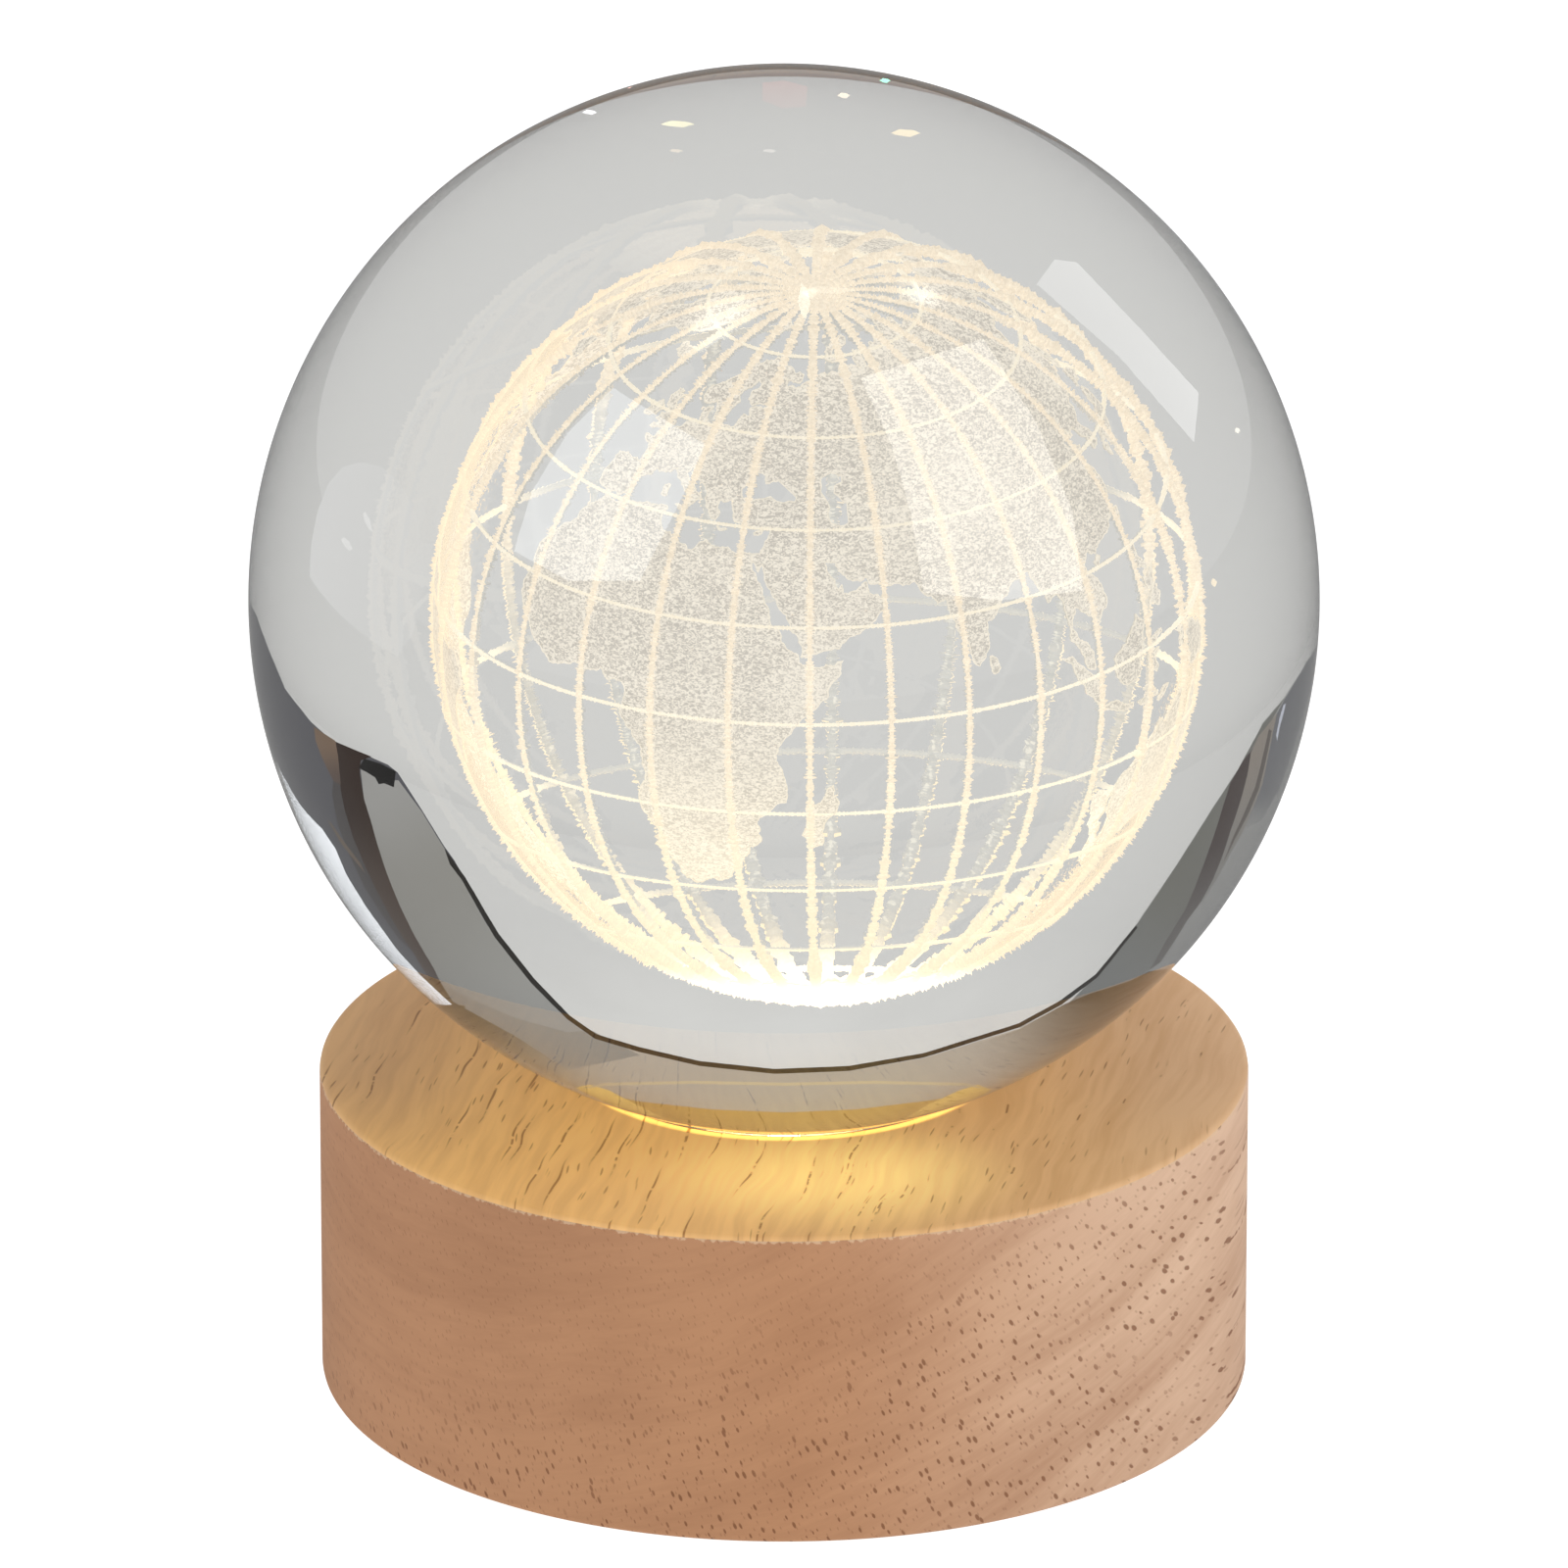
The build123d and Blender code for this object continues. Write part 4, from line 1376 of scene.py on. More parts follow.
@dataclass
class Studio:
    """The pale floor, the soft lights, the cards that the ball shows, and the camera."""

    ball_centre: Vector
    ball_radius: float
    picture: BallPicture = field(default_factory=BallPicture)
    camera_distance: float = 1.40
    sensor_width: float = 0.036
    frame_width: float = 0.1175
    aim_height: float = 0.0476
    floor_size: float = 6.0
    floor_cuts: int = 9
    sky: Colour = (1.0, 1.0, 1.0)
    sky_strength: float = 1.13
    sky_light: float = 0.42
    sky_mirrored: float = 0.60
    mirrored_inside: float = 0.15
    floor_glow: float = 1.0
    floor_mirrored: float = 0.10
    card_grid_px: float = 24.0

    def build(self) -> None:
        """Make the whole studio."""
        self._sky()
        self._floor()
        self._cards()
        self._lights()
        self._camera()

    def _sky(self) -> None:
        """Light the scene evenly from all round, and less where it lights or is mirrored."""
        world = bpy.data.worlds.new("studio_sky")
        world.use_nodes = True
        bpy.context.scene.world = world
        tree = world.node_tree
        back = tree.nodes["Background"]
        back.inputs["Color"].default_value = (*self.sky, 1.0)
        path = tree.nodes.new("ShaderNodeLightPath")
        inside = tree.nodes.new("ShaderNodeMath")
        inside.operation = "MULTIPLY"
        inside.use_clamp = True
        tree.links.new(path.outputs["Glossy Depth"], inside.inputs[0])
        tree.links.new(path.outputs["Transmission Depth"], inside.inputs[1])
        steps = (
            (path.outputs["Is Diffuse Ray"], self.sky_light),
            (path.outputs["Glossy Depth"], self.sky_mirrored), (inside.outputs[0], self.mirrored_inside),
        )
        level = None
        for ray, strength in steps:
            step = tree.nodes.new("ShaderNodeMix")
            step.inputs["A"].default_value = self.sky_strength
            step.inputs["B"].default_value = strength
            tree.links.new(ray, step.inputs["Factor"])
            if level:
                tree.links.new(level, step.inputs["A"])
            level = step.outputs["Result"]
        tree.links.new(level, back.inputs["Strength"])

    def _floor(self) -> None:
        """Lay the pale floor. It shows from above alone, so that the underside can be looked at."""
        deselect_all()
        bpy.ops.mesh.primitive_plane_add(size=self.floor_size)
        floor = bpy.context.object
        floor.name = "studio_floor"
        with editing(floor, "FACE", everything=True):
            bpy.ops.mesh.subdivide(number_cuts=self.floor_cuts)
        graph = Graph("studio_floor")
        shade = graph.noise(graph.place(), 0.002, 2.0)
        colour = graph.blend(shade, (0.18, 0.18, 0.18), (0.20, 0.20, 0.20))
        path = graph.add("LightPath").outputs
        mirrored = graph.math("MINIMUM", path["Glossy Depth"], 1.0)
        dress(
            floor,
            graph.surface(
                Base_Color=colour, Roughness=0.9, Specular_IOR_Level=0.0, Emission_Color=self.sky,
                Emission_Strength=graph.span(mirrored, 0.0, 1.0, self.floor_glow, self.floor_mirrored),
                Alpha=graph.minus(1.0, graph.add("NewGeometry").outputs["Backfacing"]),
            ),
        )

    def _cards(self) -> None:
        """Hang each card where the ball shows it at its place in the photograph."""
        eye = self._eye()
        for card in CARDS + SPARKS:
            deselect_all()
            bpy.ops.mesh.primitive_circle_add(
                vertices=len(card.outline_px), radius=1.0, fill_type="NGON", calc_uvs=False
            )
            sheet = bpy.context.object
            sheet.name = "studio_card_" + card.name
            for vertex, pixel in zip(sheet.data.vertices, card.outline_px):
                vertex.co = (*pixel, 0.0)
            cut_into_cells(sheet, self.card_grid_px)
            pixels = sheet.data.uv_layers.new(name="photo_px")
            for loop in sheet.data.loops:
                pixels.uv[loop.index].vector = sheet.data.vertices[loop.vertex_index].co.xy
            look = self.picture.mirrored if card.seen is Seen.MIRRORED else self.picture.seen_through
            for vertex in sheet.data.vertices:
                spot = (vertex.co.x, vertex.co.y)
                vertex.co = look(spot, eye, self.ball_centre, self.ball_radius, card.far)
            dress(sheet, card.material())
            sheet.visible_camera = False
            sheet.visible_diffuse = False
            sheet.visible_shadow = False
            sheet.visible_glossy = card.seen is Seen.MIRRORED
            sheet.visible_transmission = card.seen is Seen.THROUGH

    def _lights(self) -> None:
        """Hang the soft lights: one on the right, a weaker one on the left, and one above."""
        self._soft_light("key", Vector((1.00, -0.55, 0.75)), 0.7, 5.5, (1.0, 0.99, 0.97))
        self._soft_light("fill", Vector((-0.80, -0.60, 0.75)), 0.8, 1.6, (0.97, 0.98, 1.0))
        self._soft_light("top", Vector((0.05, 0.35, 1.25)), 0.9, 5.5, (1.0, 1.0, 1.0))

    def _soft_light(self, name: str, place: Vector, side: float, power: float, colour: Colour) -> None:
        """Hang one square soft light that faces the lamp.

        Args:
            name: the light's name.
            place: where it hangs.
            side: its side.
            power: its power in watts.
            colour: its colour.
        """
        data = bpy.data.lights.new("studio_" + name, "AREA")
        data.shape = "SQUARE"
        data.size = side
        data.energy = power
        data.color = colour
        light = bpy.data.objects.new("studio_" + name, data)
        bpy.context.scene.collection.objects.link(light)
        light.location = place
        way = Vector((0.0, 0.0, self.aim_height)) - place
        light.rotation_euler = way.to_track_quat("-Z", "Y").to_euler()
        light.visible_camera = False
        light.visible_glossy = False
        light.visible_transmission = False

    def _eye(self) -> Vector:
        """Return the camera's place."""
        return Vector((0.0, 0.0, self.aim_height)) + self.picture.axes()[2] * self.camera_distance

    def _camera(self) -> None:
        """Set the camera at the photograph's angle."""
        data = bpy.data.cameras.new("camera")
        data.sensor_width = self.sensor_width * PER_MM
        data.lens = data.sensor_width * self.camera_distance / self.frame_width
        data.clip_start = 0.01
        camera = bpy.data.objects.new("camera", data)
        bpy.context.scene.collection.objects.link(camera)
        _, _, toward = self.picture.axes()
        camera.location = self._eye()
        camera.rotation_euler = (-toward).to_track_quat("-Z", "Y").to_euler()
        bpy.context.scene.camera = camera
        bpy.context.scene.view_settings.view_transform = "Standard"


def cut_into_cells(sheet: Piece, step: float) -> None:
    """Cut a flat piece along a square grid, so that it can be bent smoothly.

    Args:
        sheet: a mesh that lies along the XY plane.
        step: the side of a cell.
    """
    corners = [vertex.co.copy() for vertex in sheet.data.vertices]
    with editing(sheet, "FACE", everything=True):
        bpy.ops.mesh.quads_convert_to_tris(quad_method="BEAUTY", ngon_method="BEAUTY")
        for axis in (0, 1):
            low = min(corner[axis] for corner in corners)
            high = max(corner[axis] for corner in corners)
            normal = (1.0 - axis, float(axis), 0.0)
            line = int(low // step) + 1
            while line * step < high:
                where = (line * step * normal[0], line * step * normal[1], 0.0)
                bpy.ops.mesh.select_all(action="SELECT")
                bpy.ops.mesh.bisect(plane_co=where, plane_no=normal, threshold=1e-5)
                line += 1


# Coastlines, as longitude and latitude in degrees

AFRICA = pairs(
    32.5, 31.2, 29, 31, 25, 31.7, 22, 32.8, 20, 31, 18.5, 30.3, 15.5, 31.7, 13.5, 32.9, 11, 33.4,
    10.3, 34.6, 11, 37, 9.8, 37.3, 5, 36.8, 0, 35.9, -2, 35.1, -5.5, 35.9, -6.8, 34, -9.6, 31.8,
    -9.8, 29.8, -13, 27.7, -16, 24, -17, 21, -16.3, 19, -17.4, 14.7, -16.7, 12.4, -15, 10.8, -13.2, 8.8,
    -11, 6.7, -7.6, 4.4, -4, 5.2, 0, 5.6, 4.3, 6.3, 6, 4.3, 8.7, 4.6, 9.7, 3.5, 9.4, 1, 8.8, -0.8,
    11, -3.8, 12.2, -6, 13.3, -9, 13.7, -11.5, 12.3, -15, 11.8, -18, 14.5, -22.8, 15.2, -27, 17.5, -31,
    18.3, -34, 20, -34.8, 22.5, -34, 25.8, -33.9, 28.5, -32.6, 31, -29.8, 32.8, -27, 32.9, -25.5,
    35.4, -24, 35.2, -21, 34.8, -19.8, 37, -17.7, 40.5, -15.5, 40.7, -12, 39.3, -8, 38.8, -6, 39.3, -4.5,
    41.5, -1.8, 44, 1.5, 48, 4.8, 50.8, 9.5, 51.2, 11.9, 48, 11.2, 44.5, 10.4, 43.1, 11.6, 42.8, 13,
    39.6, 15.3, 37.3, 18.8, 37, 21, 35.5, 23.9, 33.8, 27.3, 32.6, 29.8,
)

EURASIA = pairs(
    32.6, 31.1, 32.6, 29.9, 34.2, 27.9, 34.9, 29.4, 35.5, 28, 37.2, 24.8, 39.1, 21.3, 41, 19, 42.7, 16.5,
    43.3, 12.7, 45, 12.9, 48.5, 14, 52, 15.7, 55, 17.2, 57.8, 19, 59.8, 22.5, 57, 24, 56.4, 26.2, 55,
    25.2, 51.8, 24.2, 51.5, 25.9, 50.8, 24.8, 50.1, 26.6, 48.5, 28.4, 48, 30, 50.2, 30, 51.5, 27.9, 54.5,
    26.6, 56.8, 27.1, 57.3, 25.7, 61.5, 25.1, 66.5, 25.4, 67.3, 24, 69, 22.3, 70.6, 20.8, 72.5, 21.5,
    72.8, 19, 74.3, 14.8, 76.3, 10, 77.5, 8.1, 79, 9.5, 79.8, 11, 80.2, 13.5, 80.2, 15.8, 82.3, 16.6, 85,
    19.5, 87, 21.3, 89, 21.8, 91.8, 22.5, 92.3, 20.8, 94.3, 18, 94.5, 16, 97, 17, 98, 14, 98.6, 10, 98.3,
    8, 100.4, 5.5, 101.3, 2.9, 103.5, 1.3, 103.4, 4.3, 102.2, 6.2, 100.2, 7.6, 99.3, 9.5, 99.9, 12.2,
    100.6, 13.5, 102.5, 12, 104.8, 10.3, 105, 8.7, 107, 10.3, 109.2, 12, 108.5, 15.5, 106, 18.5, 105.8,
    19.5, 108, 21.6, 110, 20.4, 111.5, 21.6, 114.2, 22.4, 117, 23.6, 119.5, 25.5, 121.6, 28.4, 121.9,
    30.9, 120.3, 34, 119.3, 35.2, 122.5, 37, 120.7, 37.7, 118.9, 37.6, 117.8, 39, 121.5, 40.8, 121.3,
    38.9, 124.4, 40, 125.3, 38, 126.6, 37, 126.4, 34.6, 129.2, 35.3, 129.3, 37, 127.5, 39.8, 129.8, 41,
    131, 42.8, 135.2, 43.8, 138.5, 46.8, 140.5, 50.5, 141.2, 52.5, 138.8, 54, 135.3, 54.8, 139, 57.5, 143,
    59.3, 149, 59.5, 154.5, 59.6, 156.5, 61.3, 160, 61.2, 163, 62.4, 161, 60, 157, 57.5, 155.7, 54, 156.7,
    51, 159.8, 53.3, 162, 56, 163.5, 58.5, 166, 60, 170.5, 60, 175, 61.8, 179.5, 62.4, 178, 64.5, 182.5,
    65.4, 186.5, 64.5, 190.2, 66.1, 185, 67.2, 180, 69, 175, 69.8, 170, 69.6, 165, 69.5, 160.5, 69.6, 155,
    71, 150, 71.6, 140, 72.5, 133, 71.5, 129, 70.8, 127, 73.2, 120, 73, 113.5, 73.7, 110, 74, 113, 76,
    104.3, 77.7, 98, 76.3, 90, 75.5, 86, 73.8, 81, 73.6, 80.5, 72.2, 77, 72, 74.8, 72.8, 73, 71, 73.8,
    68.3, 71.5, 68.5, 72.5, 72.8, 69, 72.9, 66.8, 71, 68.5, 68.3, 64.5, 69.5, 60.5, 69.8, 59, 68.5, 54,
    68.4, 46, 67.5, 43.5, 68.6, 44, 66.2, 40, 64.7, 37, 65, 34.8, 64.4, 33, 66.7, 40.5, 66.3, 41, 67.7,
    33, 69.4, 31, 70.3, 26, 71.1, 21, 70.1, 17, 68.8, 14, 67, 12, 65, 10, 63.7, 5.3, 61.8, 5, 59.5, 7, 58,
    8.5, 58.1, 10.6, 59.3, 11.3, 58.5, 12.8, 55.6, 14.3, 55.5, 16.3, 56.8, 17, 58.6, 18.8, 60, 17.2, 61.5,
    19.5, 63.4, 22, 65.6, 25, 65.1, 21.5, 62.8, 21.5, 60.8, 23, 59.9, 28, 60.5, 29.5, 59.9, 27.5, 59.4,
    23.5, 59.2, 23.6, 58, 24.4, 57.4, 22, 57.6, 21, 56.2, 20, 54.6, 18.5, 54.7, 14.2, 54, 11, 54, 10.3,
    57, 10.6, 57.7, 8.2, 56.8, 8.5, 54.9, 8.6, 53.8, 5, 53.3, 4, 51.8, 1.7, 50.8, 0, 49.4, -1.5, 49.6,
    -1.5, 48.7, -4.7, 48.4, -2.3, 47.3, -1.2, 45.5, -1.7, 43.4, -4, 43.5, -8.5, 43.6, -8.8, 41.5, -9.4,
    38.7, -8.8, 37, -6.3, 36.7, -5.4, 36.1, -2, 36.8, -0.3, 38.7, 0.2, 40.6, 3.2, 41.9, 4, 43.5, 6.5,
    43.2, 9, 44.4, 10.5, 43, 12.3, 41.7, 15.2, 40.2, 15.8, 38.2, 17, 39.2, 18.4, 40.1, 16.3, 41.5, 14,
    42.6, 12.4, 44.3, 13.5, 45.6, 15, 44.5, 17.5, 43, 19.5, 41.6, 19.5, 40, 21.2, 38.2, 21.8, 36.9, 23,
    36.6, 23.8, 38, 22.8, 39.5, 23, 40.4, 24, 40.1, 26, 40.8, 26.3, 39.6, 27, 38, 27.5, 36.8, 30.5, 36.4,
    32.5, 36.1, 36, 36.6, 35.8, 34.5, 34.9, 32.5, 34.2, 31.3,
)

NORTH_AMERICA = pairs(
    -168, 65.6, -162, 66.3, -166, 68.3, -156.5, 71.3, -141, 69.6, -128, 70.3, -121, 69.8, -115, 68.2,
    -108, 68, -101, 67.8, -95, 68, -94, 71.7, -91, 69.5, -88, 68.6, -85.5, 69.7, -81.5, 69, -82, 67,
    -86, 66.5, -87, 64.8, -93, 62.5, -94.7, 59, -92.5, 57, -88, 56.6, -82.3, 55.1, -82, 53, -80, 51.3,
    -78.8, 52.5, -79.5, 54.7, -76.8, 56.5, -78.3, 59.5, -77.5, 62.4, -73, 62.2, -69.7, 60.9, -69.5, 59,
    -67.5, 58.4, -64.5, 60.3, -61.5, 57, -57.5, 54.6, -55.7, 52.5, -60, 50.2, -66, 50.2, -69.5, 48,
    -65, 48.8, -64.9, 47, -61, 45.6, -65.5, 43.6, -66.5, 44.8, -70, 43.7, -70.7, 42, -74, 40.6, -75.8, 37,
    -75.6, 35.2, -79, 33.4, -81.3, 31, -80.1, 26.8, -80.6, 25.2, -81.8, 26, -82.8, 28.5, -84.2, 30,
    -89.5, 30.2, -90, 29.2, -94.5, 29.4, -97.4, 27, -97.6, 22.5, -95.8, 18.8, -92, 18.6, -90.4, 20.8,
    -87, 21.4, -88.2, 18, -88.6, 15.8, -83.4, 15, -83.6, 11, -81.5, 9, -77.4, 8.6, -77.9, 7.3, -80.3, 7.3,
    -83, 8.3, -85.8, 10.5, -87.5, 13, -92.3, 14.6, -96, 15.8, -101.8, 17.8, -105.5, 20.4, -106, 23,
    -109.4, 26, -112.5, 30, -114.8, 31.6, -112, 27.2, -109.5, 23.1, -112.2, 25, -115, 28, -117.1, 32.5,
    -120.6, 34.5, -122.5, 37.5, -124.3, 40.4, -124, 46, -124.7, 48.3, -122.8, 49, -127.8, 51,
    -130.5, 54.5, -134, 58, -139.5, 59.6, -146, 60.8, -151.8, 59.3, -154, 58, -158, 56.3, -164.8, 54.6,
    -160, 56.4, -157.5, 58.7, -162, 58.7, -165, 61, -165, 63, -161, 64.5, -166.3, 64.5,
)

SOUTH_AMERICA = pairs(
    -77.4, 8.6, -75.5, 10.6, -71.7, 12.4, -71.5, 10.9, -68, 11.2, -62, 10.7, -57, 6, -51.7, 4.2, -50, 0.5,
    -44.5, -2.8, -39, -3.2, -35.2, -5.4, -34.8, -8, -38.8, -13, -39.2, -17.8, -41.8, -22.8, -46.3, -24,
    -48.6, -27, -52, -32.8, -54.5, -34.8, -58.3, -34, -56.8, -36.5, -62.2, -39, -65, -41, -63.7, -42.5,
    -67.4, -46, -65.8, -47.8, -69.2, -51, -65.3, -54.9, -70.5, -55.2, -75.3, -51, -75.5, -46.7,
    -72.7, -42, -73.5, -37, -71.5, -30, -70.3, -18.4, -76.3, -14, -81.2, -6, -80, -3, -80.8, -1, -80, 0.8,
    -77.3, 4, -77.7, 7,
)

AUSTRALIA = pairs(
    114.2, -22, 113.5, -26, 115.7, -32, 115, -34.2, 118, -35, 123.5, -33.9, 129, -31.6, 132, -32,
    135.5, -34.8, 137.8, -33, 138, -35.6, 140.5, -38, 143.5, -38.8, 147, -38.2, 150, -37.4, 151.3, -33.5,
    153.5, -28.5, 152.8, -25.3, 149.8, -22.4, 146.3, -19, 145.4, -15, 143.5, -14, 142.5, -10.8,
    141.6, -13.5, 140.8, -17.4, 139, -17.3, 135.5, -15, 136.9, -12.2, 132.6, -11.4, 130.2, -13,
    128.2, -15, 126, -14, 122.3, -17.5, 121.5, -19.2, 117, -20.7,
)

GREENLAND = pairs(
    -73, 78.2, -65, 76, -58, 75.5, -54.5, 72, -51, 69.5, -53.5, 66.8, -51.5, 64, -48, 61, -43.5, 59.8,
    -40.5, 64.5, -33, 67.7, -25, 69.5, -22, 71.5, -19, 75, -18.5, 79, -12.5, 81.4, -25, 83.2, -38, 83.5,
    -55, 82, -66, 80.8,
)

ANTARCTICA = pairs(
    -180, -78.5, -160, -78.3, -150, -77, -137, -75, -115, -74.3, -101, -73, -88, -73, -75, -71.5,
    -68, -67.5, -57.5, -63.4, -61, -67, -61, -72, -62, -75, -50, -78, -36, -78.2, -26, -75.5, -15, -72.5,
    0, -69.8, 15, -69.8, 33, -68.7, 40, -69.5, 50, -66.8, 60, -67.3, 70, -69.5, 75, -69.5, 82, -67,
    95, -66.5, 110, -66, 125, -66.5, 135, -66, 145, -67, 160, -69.5, 170, -71.5, 165, -75, 163, -78,
    180, -78.5,
)

ISLANDS = {
    "great_britain": pairs(
        -5.2, 50, -1.5, 50.7, 1.3, 51.2, 1.7, 52.7, 0.2, 53, -1.2, 54.6, -2, 55.8, -3, 56, -2, 57.6,
        -4, 57.6, -3.1, 58.6, -5, 58.6, -6, 56.8, -4.8, 55, -3.2, 54.5, -3, 53.3, -4.5, 53, -4.2, 52.2,
        -5.2, 51.8, -3, 51.4, -4.5, 50.9,
    ),
    "ireland": pairs(
        -6.2, 52.2, -6, 53.5, -5.6, 54.6, -7.3, 55.3, -8.5, 54.4, -10, 54.2, -9.3, 53, -10.3, 52,
        -9.5, 51.5, -8, 51.8,
    ),
    "iceland": pairs(
        -22.5, 64, -22, 65, -24, 65.6, -22.5, 66.4, -20.5, 65.8, -16.2, 66.5, -14.5, 65.5, -15, 64.3,
        -18.8, 63.4,
    ),
    "svalbard": pairs(11, 79.6, 14, 77, 17, 76.6, 21.5, 78.3, 27, 80.1, 18, 80.3),
    "novaya_zemlya": pairs(
        51.5, 71.5, 55, 70.6, 57.5, 70.7, 55.5, 72.5, 59.5, 75, 68, 76.3, 66, 77, 58, 76, 53, 73.5,
    ),
    "severnaya_zemlya": pairs(95, 79, 104, 78.7, 101, 80.5, 96, 81.1),
    "new_siberian": pairs(138, 73.7, 143, 73.4, 149, 75.2, 142, 75.8, 137.5, 75.5),
    "sakhalin": pairs(142, 46, 143.5, 49.2, 142.8, 54, 141.8, 52.5, 142, 48),
    "honshu": pairs(
        130.9, 34, 133, 34.2, 135.7, 33.5, 138.5, 34.7, 140.8, 35.7, 142, 39.5, 141.2, 41.4, 140, 40.5,
        139.5, 38, 137, 37.4, 136, 35.7, 132.5, 35.4,
    ),
    "hokkaido": pairs(140.2, 42, 143, 42.1, 145.5, 43.3, 142, 45.4, 141.3, 43.3),
    "kyushu": pairs(129.8, 33, 131, 31.2, 132.2, 33.2, 130.8, 33.8),
    "taiwan": pairs(120.1, 23, 120.8, 22, 121.9, 25, 121, 25.1),
    "luzon": pairs(120.3, 16, 120.6, 14, 124, 12.6, 121.8, 16, 122.2, 18.4, 120.6, 18.5),
    "visayas": pairs(122, 10.6, 123.2, 9.2, 125, 10.2, 125.3, 12.3, 123.4, 11.3, 122, 11.8),
    "mindanao": pairs(122, 7, 124, 6.5, 125.4, 5.7, 126.5, 7.5, 125.5, 9.7, 123.5, 8.6),
    "borneo": pairs(
        109, 1.6, 109.2, -0.5, 110.3, -2.9, 114.6, -4, 116.3, -3.3, 117.5, 0.8, 117.9, 3.2, 119, 5.2,
        116.8, 7, 115.2, 5.3, 113, 3.1, 111.2, 2.5,
    ),
    "sumatra": pairs(
        95.3, 5.6, 97.5, 5.2, 100.4, 2.7, 103.8, -0.8, 106, -3, 105.8, -5.8, 104, -5.2, 101, -2.5,
        98.7, 1.5,
    ),
    "java": pairs(105.2, -6.8, 106.8, -6, 110.5, -6.7, 114.4, -7.8, 114.4, -8.6, 109, -7.8),
    "flores": pairs(116, -8.3, 122.8, -8.2, 122.8, -8.9, 117, -9.1),
    "timor": ((123.5, -10.3), (127.2, -8.4), (126, -9.3)),
    "sulawesi": pairs(
        119.5, -5.6, 120.4, -5.5, 120.6, -2.8, 122.3, -4.8, 122.8, -4, 121.5, -1.9, 123.3, -0.9,
        120.9, -1.2, 120.5, 0.4, 124.8, 1.2, 124.6, 1.8, 120.6, 1.2, 119.8, 0, 119.2, -3,
    ),
    "new_guinea": pairs(
        131, -0.8, 134, -0.8, 135, -3.3, 138, -1.7, 141, -2.6, 145, -4.2, 147.8, -6, 147.2, -7,
        150.8, -10.4, 147, -9.5, 143.5, -9, 141, -9.2, 138, -8.3, 138.3, -7, 135, -4.5, 133, -4,
        132.8, -2.8, 133.8, -2.4,
    ),
    "tasmania": pairs(144.7, -40.8, 148.2, -40.9, 147.8, -43.3, 145.9, -43.4),
    "new_zealand_north": pairs(
        172.8, -34.5, 175.4, -36.6, 178.4, -37.7, 176.9, -39.5, 175.2, -41.6, 173.8, -39.3, 174.8, -37.8,
    ),
    "new_zealand_south": pairs(
        172.7, -40.6, 174.2, -41.8, 171, -44.8, 169, -46.6, 166.5, -45.9, 170.5, -43,
    ),
    "madagascar": pairs(
        49.3, -12, 50.4, -15.7, 49.5, -18, 47.2, -24.8, 45, -25.5, 43.4, -22.5, 44.4, -19.8, 44.4, -16.2,
        47.5, -14.8,
    ),
    "sri_lanka": pairs(79.9, 9.5, 81.3, 8.5, 81.8, 7, 80.6, 6, 79.8, 7.8),
    "hainan": pairs(108.7, 19.2, 109.6, 18.2, 111, 19.6, 110.2, 20.1),
    "sicily": ((12.5, 38), (15.5, 38.2), (15.1, 36.8)),
    "sardinia": pairs(8.4, 39, 8.3, 40.9, 9.5, 41.2, 9.6, 39.2),
    "crete": ((23.6, 35.5), (26.2, 35.2), (24.8, 34.8)),
    "cyprus": pairs(32.4, 35, 34.4, 35.6, 33.8, 34.8, 32.6, 34.6),
    "baffin": pairs(
        -66, 61.9, -64, 65, -61.8, 66.6, -68, 70, -77, 72.8, -89, 73.5, -87, 70.5, -79, 69.8, -73, 67.5,
        -72.5, 65.5, -78, 64.5, -72, 62.8,
    ),
    "victoria": pairs(-117, 70, -115, 73.2, -105.5, 72.8, -101, 69.8, -113, 68.7),
    "banks": pairs(-125, 72, -123, 74.3, -117.5, 73.3, -120, 71.5),
    "ellesmere": pairs(-90, 76.5, -79, 76.2, -75, 78.8, -64, 82, -72, 83.1, -90, 82, -88, 79),
    "devon": pairs(-92, 74.8, -80, 74.7, -82, 75.8, -91, 76.2),
    "melville": pairs(-115, 75, -106, 75, -109, 76.5, -117, 76.2),
    "southampton": ((-87, 63.7), (-81, 64), (-84, 66)),
    "newfoundland": pairs(-59, 47.8, -55.5, 46.8, -52.8, 47.2, -55.5, 51.4, -57.5, 50.5),
    "cuba": pairs(-84.8, 21.9, -80.5, 23.1, -74.3, 20.2, -77.5, 19.9, -79, 21.5),
    "hispaniola": pairs(-74.4, 18.4, -73, 19.9, -68.5, 18.7, -71.5, 17.8),
}

INLAND_SEAS = {
    "black_sea": pairs(
        28.2, 41.5, 27.8, 43, 29, 44.8, 31, 46.5, 33.3, 46, 33.6, 44.5, 35.3, 45.1, 36.8, 45.2,
        38.5, 44.2, 41.5, 42.3, 41.3, 41.3, 38.5, 41, 35.2, 42, 31.8, 41.3, 29.2, 41.3,
    ),
    "caspian_sea": pairs(
        47.5, 45.6, 49, 46.5, 51.5, 46.8, 53, 46.3, 53, 45, 51, 44.4, 50.8, 43, 52.5, 41.7, 53.8, 41,
        53.8, 37.2, 51.5, 36.7, 49.5, 37.5, 49, 39, 49.5, 40.3, 48.5, 42, 47.5, 43.3,
    ),
}


